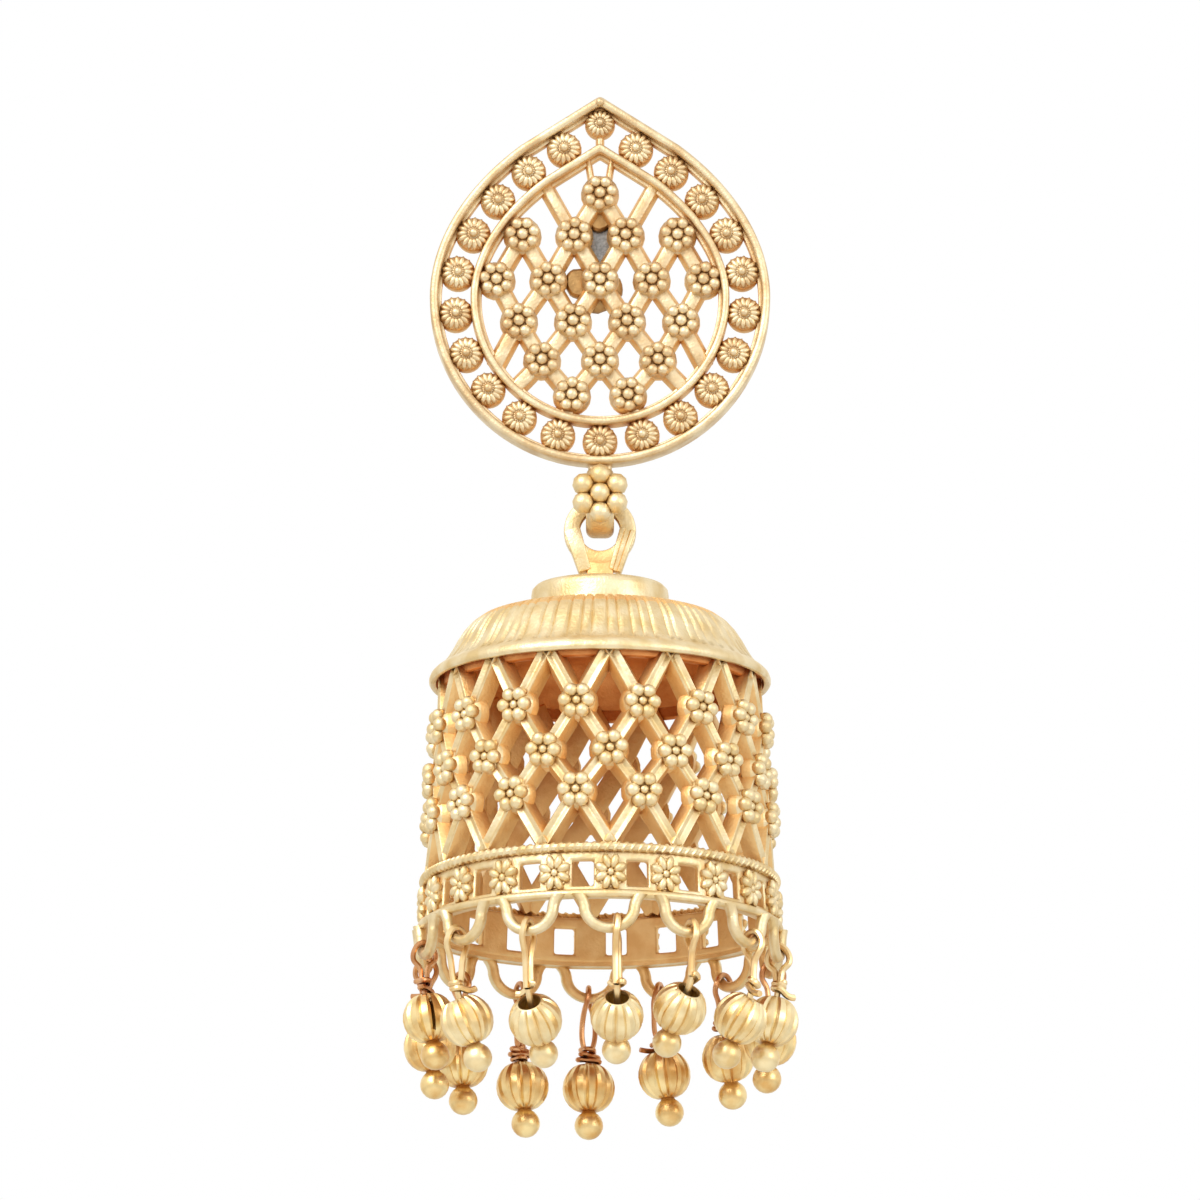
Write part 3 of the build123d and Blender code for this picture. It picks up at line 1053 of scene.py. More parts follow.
    def solder(self) -> Object:
        """Makes the spots of solder beside the post's pad, and a dark patch of painted shadow under the top
        flower, on the plate's back: low, with uneven edges.

        Returns:
            The joined spots.
        """
        made = []
        for i, (x, y, radius) in enumerate(self.solder_and_shadow_spots):
            spot = Bench.turn([(share * radius, height) for share, height in self.solder_section], 28)
            with Bench.edit(spot):
                Bench.pick(lambda co: math.sin(3 * math.atan2(co.y, co.x) + 1) > 0.3)
                Bench.scale(1.07, 1.07, 1)
            made.append(Bench.put(spot, shift(x, y, 0.05 * i)))
        return Bench.join(made)

    def loop(self) -> Object:
        """Makes the thick loop under the plate: a ring of rounded strap that stands edge-on to the viewer.

        Returns:
            The loop, about the middle of its hole.
        """
        outer, inner = self.loop_r + self.loop_half_thickness, self.loop_r - self.loop_half_thickness
        ring = Bench.washer(outer, inner, 2 * self.loop_half_width, 40)
        return Bench.put(Bench.bevel(ring, 0.46, 5), Matrix.Rotation(math.pi / 2, 4, "Y"))

    def neck(self, top: float, bottom: float) -> Object:
        """Makes the short stalk that carries the loop from the plate's rim.

        Args:
            top: Height of the plate's foot.
            bottom: Height of the loop's upper bend.

        Returns:
            The stalk, wider at its top.
        """
        middle = (top + bottom) / 2
        size = (self.neck_width, self.neck_width, top - bottom + 0.9)
        piece = Bench.block(size, (0, AXIS_Y - 0.2, middle))
        with Bench.edit(piece):
            Bench.pick(lambda co: co.z > middle)
            Bench.scale(self.neck_flare, 1, 1, (0, AXIS_Y, top))
        return Bench.bevel(piece, 0.2, 3)

    @staticmethod
    def release(piece: Object, name: str, finish: Finish = Finish.ANTIQUED) -> None:
        """Releases one of the plate's pieces."""
        Bench.release(piece, name, Body.STUD, Slot.CAST_GOLD, finish, "ear_plate")

    def build(self) -> None:
        """Builds and releases every piece of the plate."""
        pieces = {
            "plate_rim": self.band(self.rim),
            "plate_rim_step": self.band(self.rim_step),
            "inner_frame": Bench.join([self.band(self.frame), self.band(self.frame_ledge)]),
            "rosette_border": self.rosettes(),
            "field_struts": self.field_struts(),
            "field_flowers": self.field_flowers(),
        }
        for name, piece in pieces.items():
            self.release(Bench.put(piece, self.place), name)
            # Flanks deep in the openwork get coppery painted shade.
            if name != "plate_rim":
                Bench.tint(piece, Finish.UNPOLISHED, self.deep)
        # The solder and the shadow patch take a dull brown that paints shade.
        self.release(Bench.put(self.solder(), self.place), "back_solder_and_shadow_patch", Finish.SOLDER)
        loop_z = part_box("ear_plate")[0].z / MM + self.loop_r + self.loop_half_thickness
        loop = Bench.put(self.loop(), shift(0, AXIS_Y, loop_z))
        neck = self.neck(self.centre_z - self.round_r, loop_z + self.loop_r)
        self.release(Bench.join([loop, neck]), "hanging_loop")
        grains = Bench.put(self.joint_flower.make(), shift(0, -2.72, loop_z + 0.1) @ standing())
        self.release(grains, "connector_flower", Finish.CAST)

    def deep(self, x: float, y: float, z: float, normal: Vector) -> bool:
        """Whether a face is a flank in the depth of the openwork, which gets coppery painted shade."""
        depth = self.back_y - y
        return depth < 0.72 and abs(normal.y) < 0.9 or depth < 1.0 and abs(normal.y) < 0.3


# ------------------------------------------------------------------------------------------------- post


@dataclass
class EarPost:
    """The turned post, which keeps its solid from the frame."""

    frame: dict

    def build(self) -> None:
        """Gives the post its steel."""
        node = self.frame["nodes"]["ear_post"]
        node.data.materials.clear()
        node.data.materials.append(Finish.STEEL.material)
        LOG.info("ear_post: the frame's own solid, in steel")


# ------------------------------------------------------------------------------------------------- bell


def reach(x: float, y: float) -> float:
    """How far a place lies from the bell's axis."""
    return math.hypot(x, y - AXIS_Y)


@dataclass
class BellCap:
    """The bell's cap: bail, collar, boss, fluted dome and lip.

    The profiles give radius and height over the lip's foot.
    """

    boss: tuple[Point, ...] = ((0.9, 6.0), (3.35, 5.98), (3.66, 5.9), (3.86, 5.68), (3.9, 5.4), (3.9, 3.85))
    shoulder: tuple[Point, ...] = (
        (4.0, 3.78), (4.3, 3.82), (5.1, 4.05), (5.7, 4.17), (6.25, 4.12), (6.85, 3.93),
        (7.35, 3.58), (7.78, 3.1), (8.14, 2.55), (8.44, 2.0), (8.76, 1.5), (9.1, 1.1),
    )
    lip: tuple[Point, ...] = (
        (9.22, 1.02), (9.42, 0.9), (9.6, 0.72), (9.68, 0.52),
        (9.68, 0.34), (9.6, 0.22), (9.45, 0.2), (9.3, 0.28),
    )
    lining: tuple[Point, ...] = (
        (9.2, 0.6), (8.3, 0.62), (8.0, 1.9), (7.4, 2.6), (6.4, 3.0), (3.2, 3.4), (3.2, 5.3), (1.0, 5.3),
    )
    steps: int = 352  # round the dome
    flute_steps: tuple[int, ...] = (3, 4, 4, 5, 6)  # widths of the flutes, as filed by hand
    flute_from: float = 4.9
    flute_to: float = 9.14
    flute_depth: float = 0.12
    ring_inner_r: float = 1.15  # of the bail
    ring_outer_r: float = 2.05
    ring_half_width: float = 0.38
    strap_top: Point = (1.6, 0.1)  # the right strap's ends, from the ring's centre
    strap_foot: Point = (0.84, -2.35)
    strap_width: float = 0.94
    strap_depth: float = 1.0
    strap_groove: float = 0.12  # half the width of the right strap's groove

    def __post_init__(self) -> None:
        """Takes the cap's heights from the frame."""
        low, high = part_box("bell_cap")
        self.foot = low.z / MM
        self.ring_z = high.z / MM - self.ring_outer_r
        self.boss_r, self.boss_top = self.boss[-1][0], self.foot + self.boss[0][1]

    def skin(self, radius: float) -> float:
        """A height between the dome's inner and outer skin at a radius."""
        fall = max(0.0, (radius - 5.5) / 3.6)
        return self.foot + 3.62 - 2.65 * fall**1.7

    def dome(self) -> Object:
        """Turns the boss, the dome and the lip in one, with filed grooves between the dome's ribs.

        Returns:
            The dome.
        """
        profile = (*self.boss, *self.shoulder, *self.lip, *self.lining)
        piece = Bench.turn([(r, self.foot + height) for r, height in profile], self.steps)
        step = math.tau / self.steps
        rng = random.Random(8)
        grooves, column = set(), 0
        while column < self.steps - 2:
            grooves.add(column)
            column += rng.choice(self.flute_steps)

        def groove(co: Vector) -> bool:
            """Whether a vertex of the dome's outside lies in a groove.

            Args:
                co: The vertex's place.

            Returns:
                True in the columns that start a flute.
            """
            r = math.hypot(co.x, co.y)
            outside = self.flute_from < r < self.flute_to and self.skin(r) < co.z < self.boss_top - 1.5
            return outside and round(math.atan2(co.y, co.x) / step) % self.steps in grooves

        with Bench.edit(piece):
            Bench.pick(groove)
            bpy.ops.transform.shrink_fatten(value=-self.flute_depth)
        return piece

    def bail(self) -> Object:
        """Makes the bail: a ring of flat strap whose two ends run down into a small collar.

        Returns:
            The bail.
        """
        ring = Bench.washer(self.ring_outer_r, self.ring_inner_r, 2 * self.ring_half_width, 48)
        parts = [Bench.bevel(ring, 0.16, 2), self.strap(-1), self.strap(1)]
        return Bench.put(Bench.join(parts), shift(0, 0, self.ring_z) @ standing())

    def strap(self, side: int) -> Object:
        """Makes one of the bail's two strap ends; the right one has a groove filed along it.

        Args:
            side: -1 for the left one and 1 for the right one.

        Returns:
            The strap, drawn flat about the ring's centre.
        """
        start, end = (Vector((side * x, y)) for x, y in (self.strap_top, self.strap_foot))
        piece = Bench.block(((end - start).length, self.strap_width, self.strap_depth))
        groove = self.strap_groove
        with Bench.edit(piece):
            if side > 0:
                for y in (-groove - 0.08, -groove, groove, groove + 0.08):
                    bpy.ops.mesh.bisect(plane_co=(0, y, 0), plane_no=(0, 1, 0))
                    bpy.ops.mesh.select_all(action="SELECT")
                Bench.pick(lambda co: abs(co.y) < groove + 0.01)
                Bench.scale(1, 1, 0.78)
            Bench.pick(lambda co: co.x > 0)
            Bench.scale(1, 0.78, 0.9)
        return Bench.put(Bench.bevel(piece, 0.1, 2, 60), between(start, end))

    def collar(self) -> Object:
        """Makes the collar that the bail is soldered into, and the solder that fills the bail to its ring.

        Returns:
            The collar.
        """
        low, top = self.boss_top - 0.05, self.ring_z - self.ring_inner_r - 0.3
        collar = Bench.turn([(1.2, low), (1.27, low + 0.08), (1.2, low + 0.24), (0.9, low + 0.32)], 32)
        plug = Bench.block((1.7, 0.8, top - low), (0, 0, (low + top) / 2))
        with Bench.edit(plug):
            Bench.pick(lambda co: co.z > (low + top) / 2)
            Bench.scale(0.75, 0.9, 1)
        return Bench.join([collar, Bench.bevel(plug, 0.12, 3)])

    def worn(self, x: float, y: float, z: float, normal: Vector) -> bool:
        """Whether a face of the dome turns coppery: painted shade in the crease at the boss's foot, and a
        band on the shoulder.
        """
        r = reach(x, y)
        return (self.boss_r + 0.02 < r < 4.4 or 6.3 < r < 7.15) and z > self.skin(r)

    def inside(self, x: float, y: float, z: float, normal: Vector) -> bool:
        """Whether a face of the dome looks into the bell.

        Args:
            x: Where the face's middle lies along X.
            y: Where it lies along Y.
            z: Its height.
            normal: Its normal.

        Returns:
            True for the faces under the cap's outer skin.
        """
        r, height = reach(x, y), z - self.foot
        if normal.z >= 0.2 or height <= 0.24:
            return False
        if r > 9.05:
            return height < 0.72 and r < 9.5
        return z < (self.skin(r) if r > 3.85 else self.boss_top - 0.4)

    def shaded(self, x: float, y: float, z: float, normal: Vector) -> bool:
        """Whether a face of the bail looks into its hole, or lies low between the two straps.

        Args:
            x: Where the face's middle lies along X.
            y: Where it lies along Y.
            z: Its height.
            normal: Its normal.

        Returns:
            True for the faces that get coppery painted shade.
        """
        inward = Vector((-x, self.ring_z - z))
        low = z < self.ring_z - 1.1 and abs(x) < 0.8
        return inward.dot(normal.xz) > 0.4 * inward.length or low

    @staticmethod
    def release(piece: Object, name: str, finish: Finish) -> Object:
        """Puts one of the cap's pieces on the bell's axis, releases it and returns it."""
        Bench.put(piece, ON_AXIS)
        return Bench.release(piece, name, Body.JHUMKA, Slot.CAST_GOLD, finish, "bell_cap")

    def build(self) -> None:
        """Builds and releases the cap's pieces."""
        dome = self.release(self.dome(), "fluted_dome", Finish.CAST)
        # The crease at the boss's foot gets coppery painted shade, with a band on the shoulder; the inside of
        # the cap gets orange painted shade.
        Bench.tint(dome, Finish.UNPOLISHED, self.worn)
        Bench.tint(dome, Finish.BARE, self.inside)
        bail = self.release(self.bail(), "bail", Finish.CAST)
        # The bail's hole and the hollow between its straps get painted shade.
        Bench.tint(bail, Finish.UNPOLISHED, self.shaded)
        # The collar, low between the straps, is painted shade all over.
        self.release(self.collar(), "bail_collar", Finish.UNPOLISHED)


@dataclass
class BellCage:
    """The cage under the cap: lattice, flowers, rope, gallery, hem wire and scallops."""

    top_r: float = 9.15
    foot_r: float = 10.1
    height: float = 14.55
    count: int = 16
    phase: float = 3.3
    lattice_drop: float = 0.95
    level_drops: tuple[float, ...] = (-0.8, 2.4, 5.16, 7.55, 10.55)  # crossings, under the lattice's top
    bar_front: float = 0.62
    bar_back: float = 1.25
    bar_depth: float = 0.95
    bar_groove: float = 0.2
    top_band: tuple[Point, ...] = (  # radius, and drop under the cage's top
        (8.4, 0.0), (8.9, 0.0), (8.92, 0.4), (8.86, 0.62),
        (8.74, 0.7), (8.55, 0.7), (8.4, 0.6), (8.4, 0.05),
    )
    hub: tuple[Point, ...] = (  # radius and height of the disc behind each flower
        (1.0, -0.45), (1.14, -0.3), (1.02, 0.15), (0.78, 0.42),
    )
    flower: GrainFlower = GrainFlower(ring_r=0.66, grain_r=0.41, count=6, eye_r=0.3, eye_height=-0.05)
    rope_rise: float = 2.7  # over the hem
    gallery_rise: float = 1.35  # over the hem
    rope_pitch: float = 0.46
    rope_slant: float = 38.0
    gallery_count: int = 20
    gallery_phase: float = 3.4
    gallery_wall: float = 0.55
    hem_band: tuple[Point, ...] = (  # radius, and height over the hem
        (9.5, 0.22), (10.0, 0.25), (10.0, -0.2), (9.5, -0.18),
    )
    hem_wire_r: float = 0.25
    scallop_count: int = 14
    scallop_phase: float = 3.0
    scallop_drop: float = 0.7
    scallop_r: float = 1.4
    scallop_tube_r: float = 0.33
    scallop_squash: float = 0.9
    scallop_arms: tuple[Point, ...] = ((0.3, 1.06), (0.42, 1.16))  # rise and spread of the arms' steps

    def __post_init__(self) -> None:
        """Takes the cage's heights from the frame."""
        self.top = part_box("bell_cage")[1].z / MM
        self.foot = self.top - self.height
        self.lattice_top = self.top - self.lattice_drop
        self.rope_z, self.gallery_z = self.foot + self.rope_rise, self.foot + self.gallery_rise
        self.scallop_z = self.foot - self.scallop_drop

    def radius(self, z: float) -> float:
        """The cage's outer radius at a height."""
        return self.top_r + (self.top - z) / self.height * (self.foot_r - self.top_r)

    def azimuth(self, level: int, index: int) -> float:
        """Where a crossing lies round the bell: every other level is half a pitch further on."""
        return self.phase + (index + 0.5 * (level % 2)) * 360 / self.count

    def crossing(self, level: int, index: int) -> Vector:
        """Where two bars of the lattice cross.

        Args:
            level: 0 under the lip to 4 on the rope.
            index: Which crossing of that level.

        Returns:
            The crossing's place, in the middle of the bars' depth.
        """
        z = self.lattice_top - self.level_drops[level]
        skin = Vector((0, self.bar_depth / 2 - 0.03 - self.radius(z), z))
        return polar(self.azimuth(level, index)) @ skin

    def bar(self, length: float) -> Object:
        """Makes a lattice bar along Z: two rounded wires side by side on a wider back.

        Args:
            length: Its length.

        Returns:
            The bar. Its front looks along -Y.
        """
        piece = Bench.block((self.bar_back, self.bar_depth, length))
        with Bench.edit(piece):
            bpy.ops.mesh.bisect(plane_co=(0, 0, 0), plane_no=(1, 0, 0))
            Bench.pick(lambda co: co.y < 0)
            Bench.scale(self.bar_front / self.bar_back, 1, 1)
            Bench.pick(lambda co: co.y < 0 and abs(co.x) < 0.01)
            bpy.ops.transform.translate(value=(0, self.bar_groove, 0))
        return Bench.bevel(piece, 0.09, 2, 40)

    @staticmethod
    def bar_place(start: Vector, end: Vector) -> Matrix:
        """Where a bar lies between two crossings.

        Args:
            start: The upper crossing.
            end: The lower crossing.

        Returns:
            The place, with the bar's front turned away from the bell's axis.
        """
        middle, along = (start + end) / 2, (start - end).normalized()
        across = along.cross(middle.xy.normalized().to_3d()).normalized()
        turn = Matrix((across, along.cross(across), along)).transposed().to_4x4()
        return Matrix.Translation(middle) @ turn

    def lattice(self) -> Object:
        """Makes the crossing bars, the discs behind the flowers and the plain band that the cap sits over.

        Returns:
            The joined lattice.
        """
        runs = [
            (self.crossing(level, i), self.crossing(level + 1, i + side + level % 2))
            for level in range(len(self.level_drops) - 1)
            for i in range(self.count)
            for side in (-1, 0)
        ]
        length = max((start - end).length for start, end in runs) + 0.3
        bars = Bench.copies(self.bar(length), [self.bar_place(*run) for run in runs])
        band = Bench.hoop([(r, self.top - drop) for r, drop in self.top_band], 128)
        hub = Bench.put(Bench.turn(self.hub, 16), standing())
        return Bench.join([band, *bars, *Bench.copies(hub, self.hub_places(0.42, 0.0))])

    def hub_places(self, depth: float, play: float) -> list[Matrix]:
        """Finds a place for each crossing that carries a flower.

        Args:
            depth: How far it lies behind the cage's skin.
            play: How far each may be turned from its true angle, in degrees.

        Returns:
            The places, level by level.
        """
        rng = random.Random(5)
        places = []
        for level in range(1, len(self.level_drops) - 1):
            z = self.lattice_top - self.level_drops[level]
            for i in range(self.count):
                spin = Matrix.Rotation(math.radians(30 + rng.uniform(-play, play)), 4, "Y")
                places.append(polar(self.azimuth(level, i)) @ shift(0, depth - self.radius(z), z) @ spin)
        return places

    def flowers(self) -> Object:
        """The grain flowers on the lattice's crossings."""
        flower = Bench.put(self.flower.make(), standing())
        return Bench.join(Bench.copies(flower, self.hub_places(-0.12, 9)))

    def rope(self) -> Object:
        """Makes the twisted rope under the lattice: a core ring wound with slanting strands.

        Returns:
            The rope.
        """
        r = self.radius(self.rope_z)
        core = Bench.wire_ring(r, 0.24, 160, 8, self.rope_z)
        count = round(math.tau * r / self.rope_pitch)
        place = shift(0, -r, self.rope_z) @ Matrix.Rotation(math.radians(self.rope_slant), 4, "Y")
        strands = Bench.around(Bench.petal(0.3, 0.62, 1.0, 1.25), count, place)
        return Bench.join([core, *strands])

    def gallery(self) -> Object:
        """Makes the gallery: a wall with windows, and a daisy on each panel between two windows.

        Returns:
            The gallery.
        """
        petals = Bench.around(Bench.petal(0.34, 0.85, 1.45, 0.9), 8, shift(0, 0.64, 0), 22.5)
        eye = Bench.grain(0.27, 8, 6)
        back = Bench.turn([(0.8, -0.3), (0.88, -0.15), (0.86, 0.02)], 16)
        daisy = Bench.put(Bench.join([*petals, eye, back]), standing() @ Matrix.Diagonal((0.88, 1, 1, 1)))
        place = shift(0, -self.radius(self.gallery_z) - 0.02, self.gallery_z - 0.1)
        daisies = Bench.around(daisy, self.gallery_count, place, self.gallery_phase)
        return Bench.join([self.wall(), *daisies])

    def wall(self) -> Object:
        """Makes the gallery's wall. Each pitch is five strips wide: two for the window, three for the panel.

        Returns:
            The wall.
        """
        strips, window = 5, 2
        top, head, sill, foot = self.rope_z - 0.1, self.rope_z - 0.72, self.foot + 0.5, self.foot + 0.05
        profile = [(self.radius(z) - 0.12, z) for z in (top, head, sill, foot)]
        piece = Bench.turn(profile, strips * self.gallery_count, closed=False)
        width = math.tau / (strips * self.gallery_count)

        def pierced(centre: Vector, normal: Vector) -> bool:
            """Whether a face of the wall is cut out for a window."""
            strip = math.floor(math.atan2(centre.y, centre.x) % math.tau / width) % strips
            return sill < centre.z < head and strip < window

        with Bench.edit(piece):
            Bench.pick_faces(pierced)
            bpy.ops.mesh.delete(type="FACE")
        Bench.apply(piece, "SOLIDIFY", thickness=self.gallery_wall, offset=-1.0)
        return Bench.put(Bench.bevel(piece, 0.15, 3), polar(self.gallery_phase - 3.5 * math.degrees(width)))

    def hem(self) -> Object:
        """The hem: a round wire in front of a thin flat ring."""
        wire = Bench.wire_ring(self.foot_r, self.hem_wire_r, 140, 10, self.foot)
        return Bench.join([wire, Bench.hoop([(r, self.foot + z) for r, z in self.hem_band], 140)])

    def scallops(self) -> Object:
        """Makes the scallops under the hem: each a U of thick wire whose arms spread where they meet it.

        Returns:
            The joined scallops.
        """
        piece = Bench.wire_ring(self.scallop_r, self.scallop_tube_r, 36, 10)
        with Bench.edit(piece):
            bpy.ops.mesh.bisect(plane_co=(0, 0.001, 0), plane_no=(0, -1, 0), clear_inner=True)
            bpy.ops.mesh.select_all(action="DESELECT")
            bpy.ops.mesh.select_mode(type="EDGE")
            bpy.ops.mesh.select_non_manifold()
            for rise, spread in self.scallop_arms:
                bpy.ops.mesh.extrude_edges_move(TRANSFORM_OT_translate={"value": (0, rise, 0)})
                Bench.scale(spread, 1, 1.05)
            bpy.ops.mesh.edge_face_add()
        Bench.put(piece, standing() @ Matrix.Diagonal((1, self.scallop_squash, 1, 1)))
        place = shift(0, -self.foot_r, self.scallop_z)
        return Bench.join(Bench.around(piece, self.scallop_count, place, self.scallop_phase))

    def build(self) -> None:
        """Builds and releases the cage's pieces. What looks inwards gets coppery painted shade."""
        pieces = {  # faces that look outwards less than the number get painted shade
            "cage_lattice": (self.lattice(), 0.5),
            "cage_flowers": (self.flowers(), -0.3),
            "rope_band": (self.rope(), -0.3),
            "gallery": (self.gallery(), 0.1),
            "hem_wire": (self.hem(), -0.3),
            "scallops": (self.scallops(), -0.3),
        }
        for name, (piece, least) in pieces.items():
            Bench.put(piece, ON_AXIS)
            Bench.release(piece, name, Body.JHUMKA, Slot.CAST_GOLD, Finish.CAST, "bell_cage")
            Bench.tint(piece, Finish.UNPOLISHED, lambda *face: self.outlook(*face) < least)
        Bench.tint(pieces["cage_lattice"][0], Finish.BARE, self.under_lip)

    def under_lip(self, x: float, y: float, z: float, normal: Vector) -> bool:
        """Whether a face of the lattice lies on the band that the cap's lip shades."""
        return z > self.lattice_top - 0.25 and reach(x, y) < 9.16

    @staticmethod
    def outlook(x: float, y: float, z: float, normal: Vector) -> float:
        """How far a face looks away from the bell's axis: 1 straight out and -1 straight in."""
        return normal.dot(Vector((x, y - AXIS_Y, 0)).normalized())


# ------------------------------------------------------------------------------------------------ drops


@dataclass(frozen=True)
class Wire:
    """A kind of wire in the drops, and how it was wrapped.

    Attributes:
        radius: The wire's radius.
        wrap_r: Radius of the wrap.
        wrap_height: Height of the wrap.
        slack: How much looser than round the wrap is.
    """

    radius: float
    wrap_r: float
    wrap_height: float
    slack: float


class Wear(Enum):
    """How worn a drop is: the pale ones have thick, tidy wire, and the coppery ones thin, loose wire."""

    PALE = Wire(radius=0.19, wrap_r=0.36, wrap_height=0.5, slack=0.0)
    COPPERY = Wire(radius=0.155, wrap_r=0.5, wrap_height=0.85, slack=0.3)


@dataclass(frozen=True)
class Binding:
    """How one drop's wire was bent by hand.

    Attributes:
        spread: Half the distance between the two strands.
        twist: How far the loop is turned from facing the bell's middle, in degrees.
        turns: Turns of the wrap.
        tail: Length of the loose end.
        tail_turn: Direction of the loose end, in degrees round the stem.
        wear: How worn the drop is.
        nod: How far the bead tips its mouth outwards on the wire, in degrees.
    """

    spread: float
    twist: float
    turns: float
    tail: float
    tail_turn: float
    wear: Wear
    nod: float = 0.0


BINDINGS = (
    Binding(0.13, 50, 0.3, 0.9, 60, Wear.PALE, 9),
    Binding(0.13, 40, 0.3, 0.6, 10, Wear.PALE, 11),
    Binding(0.16, 55, 1.4, 1.2, 170, Wear.PALE, 12),
    Binding(0.18, 40, 2.0, 0.8, 200, Wear.PALE),
    Binding(0.34, 50, 2.3, 0.7, 40, Wear.COPPERY),
    Binding(0.3, 60, 2.4, 0.5, 90, Wear.COPPERY),
    Binding(0.34, 60, 2.6, 0.9, 200, Wear.COPPERY),
    Binding(0.48, 65, 2.8, 1.0, 215, Wear.COPPERY),
    Binding(0.4, 55, 3.2, 0.9, 150, Wear.COPPERY),
    Binding(0.32, 60, 2.4, 0.7, 300, Wear.COPPERY),
    Binding(0.3, 50, 2.4, 0.7, 250, Wear.COPPERY),
    Binding(0.2, 45, 2.0, 0.9, 190, Wear.COPPERY),
    Binding(0.3, 60, 1.8, 0.8, 30, Wear.PALE, 8),
    Binding(0.13, 45, 0.3, 0.7, 120, Wear.PALE, 11),
)
SEAMS = {4: 80.0, 9: 110.0, 12: 20.0, 13: 205.0}  # drops whose pressed bead has an open seam, and its turn


